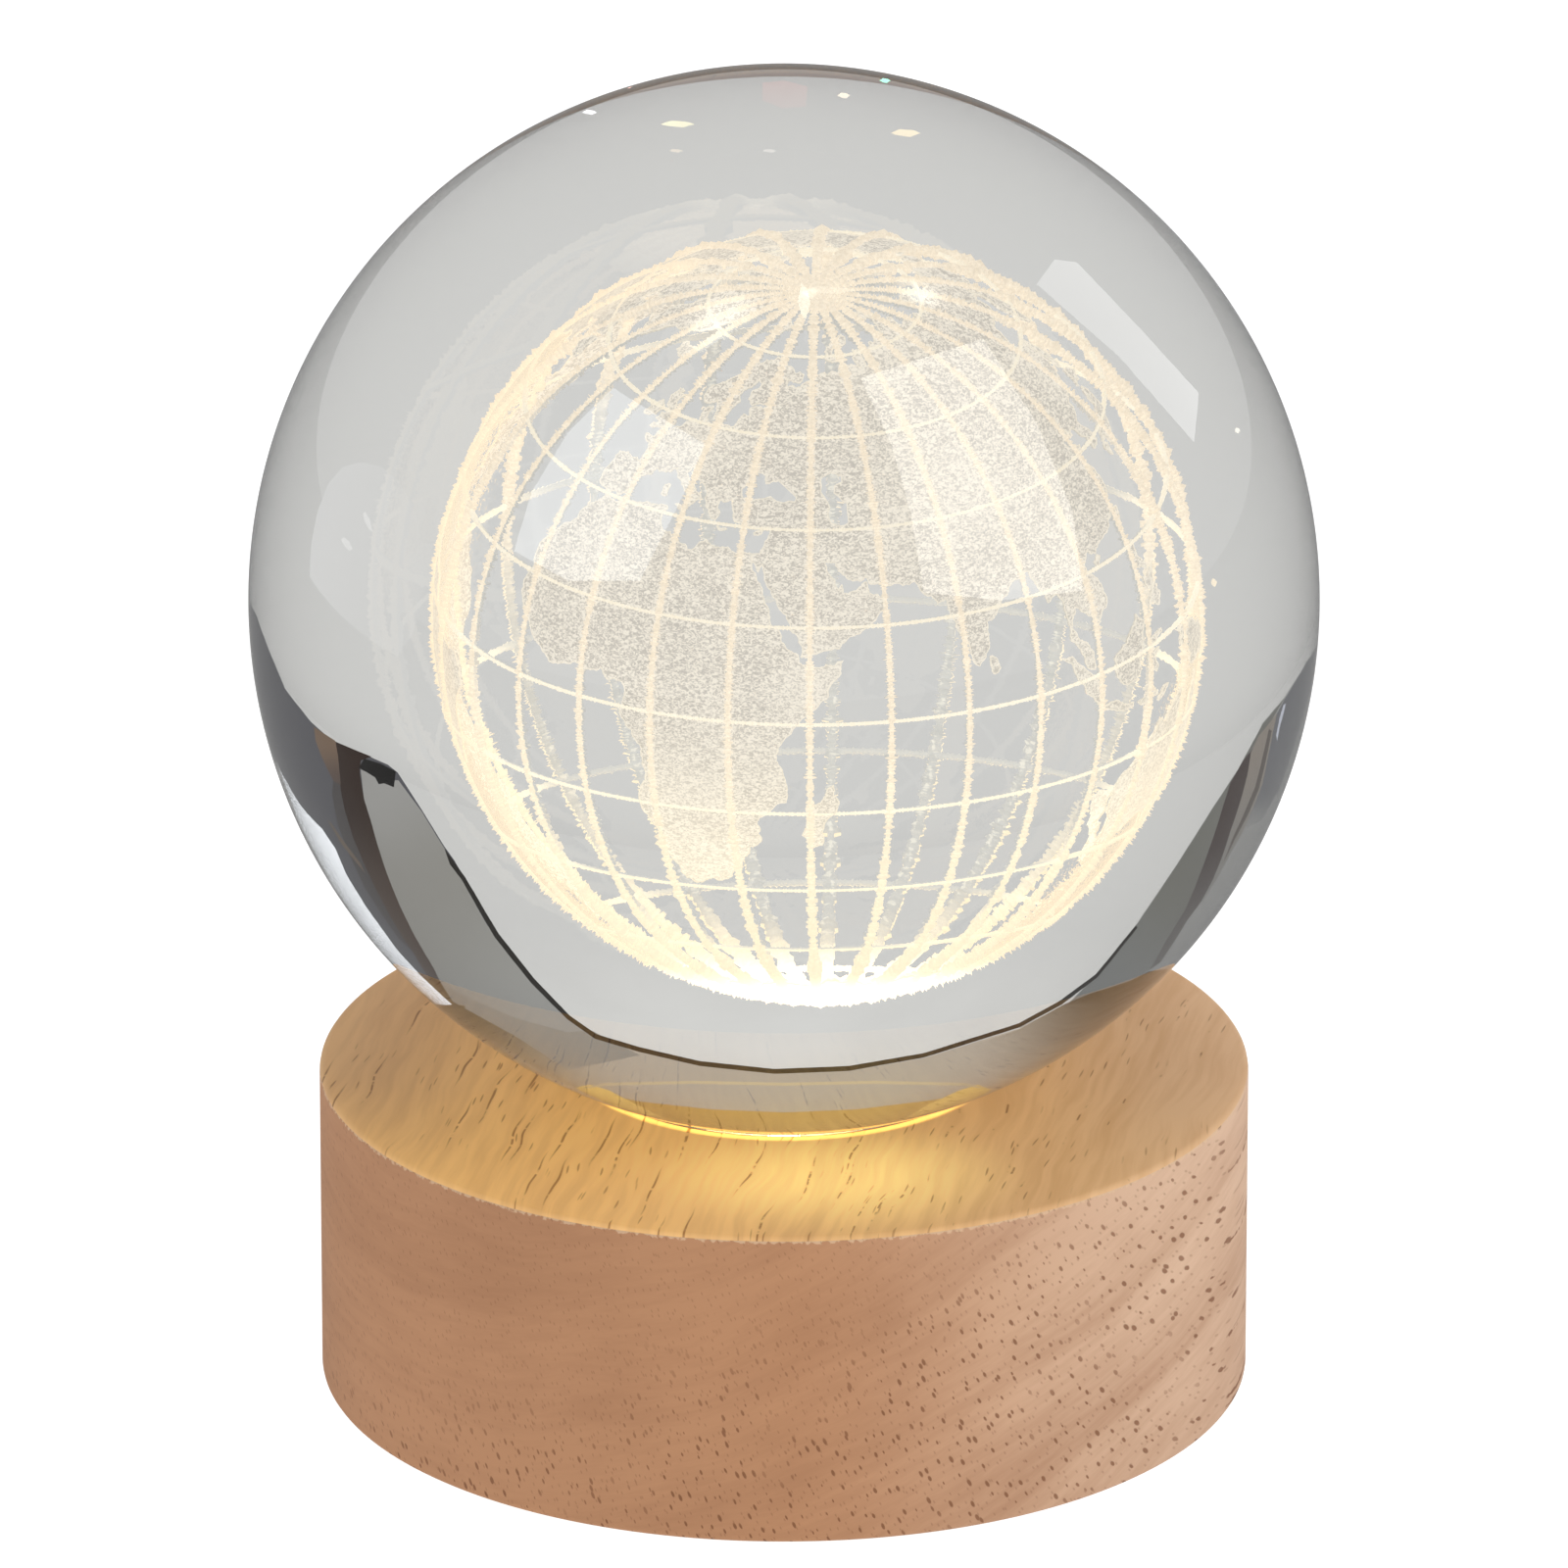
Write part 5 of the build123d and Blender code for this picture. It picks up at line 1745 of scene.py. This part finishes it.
def roughened(
    outline: Sequence[Point2], rounds: int, share: float, seed: str, closed: bool = True
) -> list[Point2]:
    """Return a coastline with smaller and smaller bends between its points.

    Args:
        outline: the coastline's points.
        rounds: how often each stretch is halved.
        share: how far a new point may stand off, as a share of its stretch.
        seed: names the random bends, so that they are the same each time.
        closed: whether the last point is joined to the first one.

    Returns:
        The finer outline.
    """
    draw = random.Random(seed)
    points = list(outline)
    for _ in range(rounds):
        finer: list[Point2] = []
        for index, (x, y) in enumerate(points):
            finer.append((x, y))
            if not closed and index == len(points) - 1:
                break
            next_x, next_y = points[(index + 1) % len(points)]
            sway = draw.uniform(-share, share)
            finer.append(((x + next_x) / 2 - (next_y - y) * sway, (y + next_y) / 2 + (next_x - x) * sway))
        points = finer
    return points


@dataclass
class EngravedGlobe:
    """The globe engraved in the glass: meridians, parallels, land masses and their coasts."""

    centre: Vector
    radius: float
    facing_longitude: float = 45.5
    meridian_step: float = 15.0
    parallel_step: float = 18.0
    last_latitude: float = 89.0
    meridian_radius: float = 0.145 * MM
    parallel_radius: float = 0.11 * MM
    hair: float = 0.15 * MM
    hair_shares: tuple[float, ...] = (0.30, 0.24, 0.20)
    hair_fall: float = 0.3
    hair_wear: float = 0.16
    parallel_hair: float = 0.045 * MM
    haze_reach: float = 34.0
    haze_segments: int = 192
    haze_rings: int = 120
    ring_steps: int = 2400
    parallel_fineness: float = 0.8
    line_sides: int = 6
    land_thickness: float = 0.14 * MM
    cell_step: float = 3.0
    coast_radius: float = 0.042 * MM
    coast_wear: float = 0.035 * MM
    bend_rounds: int = 3
    bend_share: float = 0.17
    body: str = "ball"
    slot: str = "engraving"

    @classmethod
    def from_frame(cls) -> "EngravedGlobe":
        """Return a globe that fits its CAD node."""
        low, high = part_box("engraved_globe")
        centre = (low + high) / 2
        return cls(centre=centre, radius=(high.x - low.x) / 2 - cls.meridian_radius)

    def build(self) -> None:
        """Make the whole engraving."""
        band = Engraving(self.centre, self.radius)
        line = Engraving(
            self.centre, self.radius, crack=(1.0, 0.93, 0.78), gap=(0.97, 0.88, 0.71),
            strength=1.32, north_share=0.82,
        )
        shore = Engraving(
            self.centre, self.radius, crack=(1.0, 0.93, 0.80), gap=(0.88, 0.82, 0.70), strength=1.10
        )
        sheet = Engraving(
            self.centre, self.radius, crack=(1.0, 0.935, 0.82), gap=(0.62, 0.58, 0.52),
            inner=(0.86, 0.81, 0.71), inner_gap=(0.68, 0.65, 0.58), strength=1.07, inner_share=0.88,
            grains_per_mm=5.6, stretch=(0.75, 0.75, 1.3), low_grain=0.41, high_grain=0.58,
            foot_share=1.34, north_share=0.93, rim_share=0.45, curl=1.1,
        )
        haze = self._haze()
        dress(haze, LimbHaze(self.centre, self.radius).material("engraved_haze"))
        install(haze, self.body, self.slot)
        finish = band.material("engraved_meridians")
        for part, replaced in enumerate((("engraved_globe",), ())):
            meridians = self._meridians(part)
            dress(meridians, finish)
            install(meridians, self.body, self.slot, *replaced)
        parallels = self._parallels()
        dress(parallels, line.material("engraved_parallels"))
        install(parallels, self.body, self.slot)
        lands, coasts = self._lands_and_coasts()
        dress(lands, sheet.material("engraved_lands"))
        install(lands, self.body, self.slot)
        dress(coasts, shore.material("engraved_coasts"))
        install(coasts, self.body, self.slot)

    def _place(self, longitude: float, latitude: float, rise: float) -> Vector:
        """Return the place of a longitude and latitude, at a height over the globe."""
        turn = radians(longitude - self.facing_longitude - 90.0)
        tilt = radians(latitude)
        out = self.radius + rise
        return self.centre + Vector((cos(tilt) * cos(turn), cos(tilt) * sin(turn), sin(tilt))) * out

    def _ring(self, radius: float, line_radius: float, steps: int) -> Piece:
        """Return one ring of a line about Z, spun from its section.

        Args:
            radius: the ring's radius.
            line_radius: the line's own radius.
            steps: how many sections it has.

        Returns:
            The ring.
        """
        deselect_all()
        bpy.ops.mesh.primitive_circle_add(
            vertices=self.line_sides, radius=line_radius, fill_type="NOTHING",
            location=(radius, 0.0, 0.0), rotation=(pi / 2, pi / self.line_sides, 0.0),
        )
        ring = settle(bpy.context.object)
        apply_modifier(ring, "SCREW", axis="Z", angle=2.0 * pi, steps=steps, render_steps=steps)
        with editing(ring, "FACE", everything=True):
            bpy.ops.mesh.normals_make_consistent(inside=False)
        return ring

    def _meridians(self, part: int) -> Piece:
        """Return every other great circle of meridians, with short hairs across the lines.

        Args:
            part: 0 or 1, for the circles that it starts with.

        Returns:
            The joined circles.
        """
        steps = range(part, round(180.0 / self.meridian_step), 2)
        first = self._ring(self.radius, self.meridian_radius, self.ring_steps)
        rings = [first, *(self._copy(first) for _ in steps[1:])]
        for ring, step in zip(rings, steps):
            ring.rotation_euler = (pi / 2, 0.0, radians(step * self.meridian_step - self.facing_longitude))
            ring.location = self.centre
            settle(ring)
        meridians = join(f"engraved_meridians_{part + 1}", rings)
        self._fray(meridians, self.hair, 3 + part)
        return meridians

    def _copy(self, piece: Piece) -> Piece:
        """Return a copy of a piece, with a mesh of its own."""
        twin = piece.copy()
        twin.data = piece.data.copy()
        bpy.context.scene.collection.objects.link(twin)
        return twin

    def _parallels(self) -> Piece:
        """Return the parallels, thinner and smoother than the meridians."""
        rows = int(self.last_latitude // self.parallel_step)
        rings = []
        for row in range(-rows, rows + 1):
            tilt = radians(row * self.parallel_step)
            steps = round(self.ring_steps * cos(tilt) * self.parallel_fineness)
            ring = self._ring(self.radius * cos(tilt), self.parallel_radius, steps)
            ring.location = self.centre + Vector((0.0, 0.0, self.radius * sin(tilt)))
            rings.append(settle(ring))
        parallels = join("engraved_parallels", rings)
        self._fray(parallels, self.parallel_hair, 5)
        return parallels

    def _fray(self, piece: Piece, amount: float, seed: int) -> None:
        """Draw random sections of a piece's lines out into short hairs across them.

        Args:
            piece: joined rings, whose points come section by section.
            amount: how long the longest hairs are.
            seed: the seed of the random choice.
        """
        draw = random.Random(seed)
        sections = len(piece.data.vertices) // self.line_sides
        for step, share in enumerate(self.hair_shares):
            chosen = [draw.random() < share for _ in range(sections)]
            chosen = [here and not before for here, before in zip(chosen, [False, *chosen])]
            with editing(piece, "VERT"):
                bpy.ops.mesh.select_all(action="DESELECT")
            for index, vertex in enumerate(piece.data.vertices):
                vertex.select = chosen[index // self.line_sides]
            with editing(piece, "VERT"):
                bpy.ops.transform.shrink_fatten(value=amount * (1.0 - self.hair_fall * step))
        with editing(piece, "VERT", everything=True):
            wear = amount * self.hair_wear
            bpy.ops.transform.vertex_random(offset=wear, uniform=0.0, normal=0.0, seed=seed)

    def _haze(self) -> Piece:
        """Return the band of the globe's shell that is seen edge-on from the front."""
        tilt = -atan(LimbHaze.limb_way[2] / LimbHaze.limb_way[1])
        deselect_all()
        bpy.ops.mesh.primitive_uv_sphere_add(
            segments=self.haze_segments, ring_count=self.haze_rings, radius=self.radius,
            rotation=(pi / 2 - tilt, 0.0, 0.0),
        )
        haze = settle(bpy.context.object)
        haze.name = "engraved_haze"
        way = Vector(LimbHaze.limb_way)
        limit = self.radius * sin(radians(self.haze_reach))
        middle = -self.radius * LimbHaze.limb_shift
        pick_faces(haze, lambda centre, normal: abs(centre.dot(way) - middle) > limit)
        with editing(haze):
            bpy.ops.mesh.delete(type="FACE")
        haze.location = self.centre
        settle(haze)
        take(haze)
        bpy.ops.object.shade_smooth()
        return haze

    def _plate(self, name: str, outline: Sequence[Point2], thickness: float) -> Piece:
        """Return a flat plate with this outline, in degrees, standing on the XY plane."""
        deselect_all()
        bpy.ops.mesh.primitive_circle_add(vertices=len(outline), radius=1.0, fill_type="NGON")
        plate = bpy.context.object
        plate.name = name
        for vertex, (longitude, latitude) in zip(plate.data.vertices, outline):
            vertex.co = (longitude, latitude, 0.0)
        with editing(plate, "FACE", everything=True):
            bpy.ops.mesh.quads_convert_to_tris(quad_method="BEAUTY", ngon_method="BEAUTY")
            extrude_upwards(thickness)
            bpy.ops.mesh.select_all(action="SELECT")
            bpy.ops.mesh.normals_make_consistent(inside=False)
        return plate

    def _land(self, name: str, outline: Sequence[Point2], seas: Sequence[Sequence[Point2]]) -> Piece:
        """Return one land mass, bent onto the globe.

        Args:
            name: the land's name.
            outline: its coast in degrees.
            seas: the outlines of the seas inside it.

        Returns:
            The land mass.
        """
        plate = self._plate(name, outline, 1.0)
        for sea in seas:
            cutter = self._plate("sea", sea, 3.0)
            cutter.location.z = -1.0
            settle(cutter)
            apply_modifier(plate, "BOOLEAN", operation="DIFFERENCE", object=cutter, solver="EXACT")
            bpy.data.objects.remove(cutter)
        cut_into_cells(plate, self.cell_step)
        half = self.land_thickness / 2
        for vertex in plate.data.vertices:
            rise = half if vertex.co.z > 0.5 else -half
            vertex.co = self._place(vertex.co.x, vertex.co.y, rise)
        return plate

    def _coast(self, outline: Sequence[Point2]) -> Piece:
        """Return a thin line along a coast, bent onto the globe."""
        deselect_all()
        bpy.ops.mesh.primitive_circle_add(vertices=len(outline), radius=1.0, fill_type="NOTHING")
        coast = bpy.context.object
        for vertex, (longitude, latitude) in zip(coast.data.vertices, outline):
            vertex.co = (longitude, latitude, 0.0)
        for vertex in coast.data.vertices:
            vertex.co = self._place(vertex.co.x, vertex.co.y, self.land_thickness / 2)
        take(coast)
        bpy.ops.object.convert(target="CURVE")
        coast = bpy.context.object
        coast.data.bevel_depth = self.coast_radius
        coast.data.bevel_resolution = 1
        bpy.ops.object.convert(target="MESH")
        return bpy.context.object

    def _lands_and_coasts(self) -> tuple[Piece, Piece]:
        """Return all land masses as one piece, and all coasts as another."""
        named = {
            "africa": AFRICA, "eurasia": EURASIA, "north_america": NORTH_AMERICA,
            "south_america": SOUTH_AMERICA, "australia": AUSTRALIA, "greenland": GREENLAND, **ISLANDS,
        }
        seas = [roughened(sea, 1, self.bend_share, name) for name, sea in INLAND_SEAS.items()]
        lands = []
        coasts = [self._coast(sea) for sea in seas]
        for name, outline in named.items():
            fine = roughened(outline, self.bend_rounds, self.bend_share, name)
            lands.append(self._land(name, fine, seas if name == "eurasia" else ()))
            coasts.append(self._coast(fine))
        southern = roughened(ANTARCTICA, self.bend_rounds, self.bend_share, "antarctica", closed=False)
        lands.append(self._land("antarctica", [*southern, (180.0, -89.9), (-180.0, -89.9)], ()))
        coasts.append(self._coast(southern))
        land = join("engraved_lands", lands)
        with editing(land, "FACE", everything=True):
            bpy.ops.mesh.remove_doubles(threshold=1e-7)
        coast = join("engraved_coasts", coasts)
        with editing(coast, "VERT", everything=True):
            bpy.ops.transform.vertex_random(offset=self.coast_wear, uniform=0.0, normal=0.0, seed=7)
        return land, coast


@dataclass
class GlassBall:
    """The solid glass ball, a smooth sphere grown from a block."""

    centre: Vector
    radius: float
    block_cuts: int = 79
    body: str = "ball"
    slot: str = "ball_glass"

    @classmethod
    def from_frame(cls) -> "GlassBall":
        """Return a ball that fits its CAD node."""
        low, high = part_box("crystal_ball")
        return cls(centre=Vector((0.0, 0.0, (low.z + high.z) / 2)), radius=min(high - low) / 2)

    def build(self) -> None:
        """Make the ball."""
        deselect_all()
        bpy.ops.mesh.primitive_cube_add(size=2.0)
        ball = bpy.context.object
        ball.name = "glass_ball"
        with editing(ball, "FACE", everything=True):
            bpy.ops.mesh.subdivide(number_cuts=self.block_cuts)
        for vertex in ball.data.vertices:
            spread = Vector(tan(part * pi / 4) for part in vertex.co)
            vertex.co = self.centre + spread.normalized() * self.radius
        take(ball)
        bpy.ops.object.shade_smooth()
        dress(ball, CrystalGlass().material())
        install(ball, self.body, self.slot, "crystal_ball")


@dataclass
class WoodenBase:
    """The turned wooden base: light recess and seat on top, and the tray's hollow below."""

    radius: float
    bottom: float
    top: float
    plate_top: float = 2.8 * MM
    pocket_top: float = 16.4 * MM
    steps: int = 192
    rim_rounding: float = 0.55 * MM
    rim_segments: int = 4
    seat_radius: float = 15.54 * MM
    seat_depth: float = 0.605 * MM
    recess_radius: float = 14.0 * MM
    recess_floor: float = 18.2 * MM
    rebate_radius: float = 32.217 * MM
    pocket_length: float = 52.75 * MM
    pocket_width: float = 37.2 * MM
    pocket_corner: float = 4.0 * MM
    corner_segments: int = 6
    switch_bay_length: float = 16.0 * MM
    switch_bay_end: float = 28.86 * MM
    wire_hole_y: float = 13.0 * MM
    wire_hole_radius: float = 2.2 * MM
    pilot_x: float = 11.5 * MM
    pilot_y: float = 25.017 * MM
    pilot_radius: float = 0.95 * MM
    pilot_depth: float = 8.0 * MM
    hole_sides: int = 32
    overlap: float = 0.5 * MM
    body: str = "base"
    slot: str = "base_wood"

    @classmethod
    def from_frame(cls) -> "WoodenBase":
        """Return a base that fits its CAD node and the tray's plate."""
        low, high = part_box("wooden_base")
        return cls(radius=(high.x - low.x) / 2, bottom=low.z, top=high.z)

    def build(self) -> None:
        """Make the base."""
        base = self._turned_blank()
        self._hollow(base)
        self._round_rims(base)
        wood = Rubberwood()
        dress(base, *(wood.material(cut) for cut in Cut))
        slots = list(Cut)
        for face in base.data.polygons:
            face.material_index = slots.index(self._cut_of(face.center))
        smooth(base, 40.0)
        install(base, self.body, self.slot, "wooden_base")

    def _cut_of(self, centre: Vector) -> Cut:
        """Return which cut through the wood a face shows, from where its middle is."""
        out = hypot(centre.x, centre.y)
        if out > self.radius - self.rim_rounding * 0.7 and centre.z < self.top - self.rim_rounding * 0.5:
            return Cut.TURNED_SIDE
        if centre.z > self.top - self.rim_rounding and out > self.seat_radius - self.overlap:
            return Cut.PLANED_TOP
        return Cut.BORED_RECESS

    def _turned_blank(self) -> Piece:
        """Return the blank with its recess, seat and rebate, as it comes from the lathe."""
        deselect_all()
        height = self.top - self.bottom
        bpy.ops.mesh.primitive_cylinder_add(
            vertices=self.steps, radius=self.radius, depth=height,
            location=(0.0, 0.0, self.bottom + height / 2),
        )
        base = settle(bpy.context.object)
        base.name = "turned_base"
        shrink = cos(pi / self.steps)
        with editing(base):
            bpy.ops.mesh.select_all(action="DESELECT")
        pick_faces(base, lambda centre, normal: normal.z > 0.9)
        with editing(base):
            bpy.ops.mesh.inset(thickness=(self.radius - self.seat_radius) * shrink)
            extrude_upwards(-self.seat_depth)
            ratio = self.recess_radius / self.seat_radius
            bpy.ops.transform.resize(value=(ratio, ratio, 1.0))
            drop = self.recess_floor - (self.top - self.seat_depth)
            extrude_upwards(drop)
        pick_faces(base, lambda centre, normal: normal.z < -0.9)
        with editing(base):
            bpy.ops.mesh.inset(thickness=(self.radius - self.rebate_radius) * shrink)
            rise = self.plate_top - self.bottom
            extrude_upwards(rise)
        return base

    def _hollow(self, base: Piece) -> None:
        """Mill the tray's pocket and switch bay, and drill the wire hole and pilot holes."""
        low = self.plate_top - self.overlap
        pocket = self._block(self.pocket_length, self.pocket_width, 0.0, low, self.pocket_top)
        pick_edges(pocket, lambda one, two: abs(one.z - two.z) > self.overlap)
        with editing(pocket, "EDGE"):
            bpy.ops.mesh.bevel(offset=self.pocket_corner, segments=self.corner_segments)
        self._cut(base, pocket)
        bay = self._block(
            self.switch_bay_length, self.switch_bay_end, self.switch_bay_end / 2, low, self.pocket_top
        )
        self._cut(base, bay)
        floor = self.recess_floor + self.overlap
        below = self.pocket_top - self.overlap
        self._drill(base, 0.0, self.wire_hole_y, self.wire_hole_radius, below, floor)
        for side_x in (-1.0, 1.0):
            for side_y in (-1.0, 1.0):
                self._drill(
                    base, side_x * self.pilot_x, side_y * self.pilot_y, self.pilot_radius, low,
                    self.plate_top + self.pilot_depth,
                )

    def _block(self, length: float, width: float, y: float, low: float, high: float) -> Piece:
        """Return a block centred on x = 0, between two heights."""
        deselect_all()
        bpy.ops.mesh.primitive_cube_add(
            size=1.0, location=(0.0, y, (low + high) / 2), scale=(length, width, high - low)
        )
        return settle(bpy.context.object)

    def _drill(self, base: Piece, x: float, y: float, radius: float, low: float, high: float) -> None:
        """Drill one upright hole into the base."""
        deselect_all()
        bpy.ops.mesh.primitive_cylinder_add(
            vertices=self.hole_sides, radius=radius, depth=high - low, location=(x, y, (low + high) / 2)
        )
        self._cut(base, settle(bpy.context.object))

    def _cut(self, base: Piece, cutter: Piece) -> None:
        """Take a cutter's volume out of the base."""
        apply_modifier(base, "BOOLEAN", operation="DIFFERENCE", object=cutter, solver="EXACT")
        bpy.data.objects.remove(cutter)

    def _round_rims(self, base: Piece) -> None:
        """Round the outer rims at the top and the bottom."""
        pick_edges(base, self._is_rim)
        with editing(base, "EDGE"):
            bpy.ops.mesh.bevel(offset=self.rim_rounding, segments=self.rim_segments)

    def _is_rim(self, one: Vector, two: Vector) -> bool:
        """Return whether an edge lies along an outer rim."""
        level = abs(one.z - two.z) < 1e-6
        outer = min(hypot(one.x, one.y), hypot(two.x, two.y)) > self.radius * 0.999
        return level and outer


@dataclass
class RecessLight:
    """The warm light of the diodes in the recess."""

    height: float = 21.5 * MM
    ring_radius: float = 4.6 * MM
    size: float = 3.0 * MM
    diodes: int = 4
    first_turn: float = 45.0
    power: float = 0.004
    colour: Colour = (1.0, 0.72, 0.25)

    def build(self) -> None:
        """Hang one small warm light over each diode."""
        for step in range(self.diodes):
            data = bpy.data.lights.new("diode_light", "POINT")
            data.energy = self.power
            data.color = self.colour
            data.shadow_soft_size = self.size / 2
            light = bpy.data.objects.new("diode_light", data)
            bpy.context.scene.collection.objects.link(light)
            turn = radians(self.first_turn + 360.0 * step / self.diodes)
            light.location = (
                self.ring_radius * cos(turn), self.ring_radius * sin(turn), self.height + self.size / 2
            )
            light.visible_camera = False
            light.visible_transmission = False
            light.visible_glossy = False


@dataclass(frozen=True)
class CellWrap:
    """A battery cell's plain printed sleeve: a dark body, a copper band at one end, bare metal ends."""

    name: str
    centre: Vector
    half_length: float
    flip: float
    body: Colour = (0.022, 0.024, 0.028)
    band: Colour = (0.62, 0.30, 0.12)
    bare: Colour = (0.66, 0.66, 0.67)

    def material(self) -> Material:
        """Return the material."""
        graph = Graph(self.name)
        here = graph.place(centre=tuple(self.centre))
        along = graph.times(graph.axes(here)[0], self.flip)
        end = self.half_length * PER_MM
        printed = graph.span(along, end * 0.52, end * 0.54)
        ends = graph.span(graph.math("ABSOLUTE", along), end - 1.3, end - 1.1)
        scuffs = graph.noise(graph.place(scale=(0.3, 1.0, 1.0)), 2.0, 3.0)
        colour = graph.blend(printed, self.body, self.band)
        colour = graph.blend(ends, colour, self.bare)
        colour = graph.blend(graph.span(scuffs, 0.45, 0.75, 0.0, 0.12), colour, (0.5, 0.5, 0.5))
        metal = graph.math("MAXIMUM", graph.times(printed, 0.75), ends)
        return graph.surface(
            Base_Color=colour, Metallic=metal, Roughness=graph.span(scuffs, 0.3, 0.7, 0.22, 0.36)
        )


@dataclass(frozen=True)
class ScrewHeads:
    """Zinc screws with a cross recess, at four mirrored places."""

    across: float
    along: float
    slot_half_width: float = 0.30
    slot_reach: float = 1.15
    zinc: Colour = (0.60, 0.61, 0.62)
    shadow: Colour = (0.030, 0.030, 0.032)

    def material(self) -> Material:
        """Return the material."""
        graph = Graph("screw_zinc")
        x, y, z = graph.axes(graph.place())
        u = graph.math("ABSOLUTE", graph.minus(graph.math("ABSOLUTE", x), self.across * PER_MM))
        v = graph.math("ABSOLUTE", graph.minus(graph.math("ABSOLUTE", y), self.along * PER_MM))
        thin = graph.math("MINIMUM", u, v)
        wide = graph.math("MAXIMUM", u, v)
        taper = graph.minus(thin, graph.times(graph.minus(1.0, wide), 0.12))
        cross = graph.math(
            "MULTIPLY", graph.span(taper, self.slot_half_width, self.slot_half_width * 0.8),
            graph.span(wide, self.slot_reach, self.slot_reach * 0.93),
        )
        low = graph.span(z, 1.9, 1.7)
        recess = graph.times(cross, low)
        brushed = graph.noise(graph.place(), 6.0, 3.0)
        colour = graph.blend(recess, self.zinc, self.shadow)
        return graph.surface(
            Base_Color=colour, Metallic=graph.minus(1.0, recess),
            Roughness=graph.span(brushed, 0.3, 0.7, 0.22, 0.38),
            Normal=graph.bump(graph.minus(0.0, recess), 0.6, 0.0002),
        )


@dataclass(frozen=True)
class Diode:
    """A small square diode: a pale package with a glowing yellow dome in its middle."""

    name: str
    centre: Vector
    dome_radius: float = 1.25
    package: Colour = (0.86, 0.84, 0.78)
    phosphor: Colour = (1.0, 0.62, 0.12)
    glow: float = 3.5

    def material(self) -> Material:
        """Return the material."""
        graph = Graph(self.name)
        x, y, _ = graph.axes(graph.place(centre=tuple(self.centre)))
        out = graph.length(graph.vector(x, y, 0.0))
        wavy = graph.plus(out, graph.span(graph.noise(graph.place(), 4.0, 1.0), 0.3, 0.7, -0.04, 0.04))
        lit = graph.span(wavy, self.dome_radius, self.dome_radius * 0.94)
        return graph.surface(
            Base_Color=graph.blend(lit, self.package, self.phosphor), Roughness=0.35,
            Emission_Color=(1.0, 0.80, 0.42), Emission_Strength=graph.times(lit, self.glow),
        )


NODE_FINISHES = {
    "battery_tray": Moulded("tray_plastic", (0.035, 0.035, 0.038), 0.42),
    "battery_door": Moulded("door_plastic", (0.035, 0.035, 0.038), 0.42),
    "switch_case": Metal("switch_steel", (0.62, 0.63, 0.64)),
    "switch_pins": Metal("pin_metal", (0.72, 0.60, 0.36), 0.25),
    "switch_knob": Moulded("knob_plastic", (0.80, 0.80, 0.78), 0.35),
    "tray_screws": ScrewHeads(WoodenBase.pilot_x, WoodenBase.pilot_y),
    "glue_pad": Moulded("glue_foam", (0.80, 0.80, 0.77), 0.9),
    "light_board": Moulded("board_white", (0.86, 0.86, 0.83), 0.35),
    "board_resistor": Moulded("resistor_black", (0.03, 0.03, 0.03), 0.4),
    "solder_pads": Metal("solder_tin", (0.70, 0.71, 0.72), 0.2),
    "wire_positive": Moulded("wire_red", (0.55, 0.03, 0.02), 0.4),
    "wire_to_switch": Moulded("wire_red_switch", (0.55, 0.03, 0.02), 0.4),
    "wire_to_board": Moulded("wire_black", (0.03, 0.03, 0.03), 0.4),
}


def dress_inner_parts() -> None:
    """Give each CAD node that stays its finish."""
    for name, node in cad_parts.items():
        if name in NODE_FINISHES:
            dress(node, NODE_FINISHES[name].material())
        elif name.startswith("cell_"):
            low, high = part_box(name)
            flip = -1.0 if name == "cell_2" else 1.0
            dress(node, CellWrap("wrap_" + name, (low + high) / 2, (high.x - low.x) / 2, flip).material())
        elif name.startswith(("negative", "positive", "link")):
            dress(node, Metal("nickel_" + name, (0.66, 0.64, 0.60)).material())
        elif name.startswith("rubber_foot"):
            dress(node, Moulded("rubber_" + name, (0.06, 0.06, 0.06), 0.8).material())
        elif name.startswith("led_"):
            low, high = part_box(name)
            dress(node, Diode("package_" + name, (low + high) / 2).material())


def main() -> None:
    """Build the studio and the lamp."""
    logging.basicConfig(level=logging.INFO, format="%(message)s")
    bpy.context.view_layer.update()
    ball = GlassBall.from_frame()
    Studio(ball.centre, ball.radius).build()
    ball.build()
    EngravedGlobe.from_frame().build()
    WoodenBase.from_frame().build()
    RecessLight().build()
    dress_inner_parts()
    deselect_all()


if __name__ == "__main__":
    main()
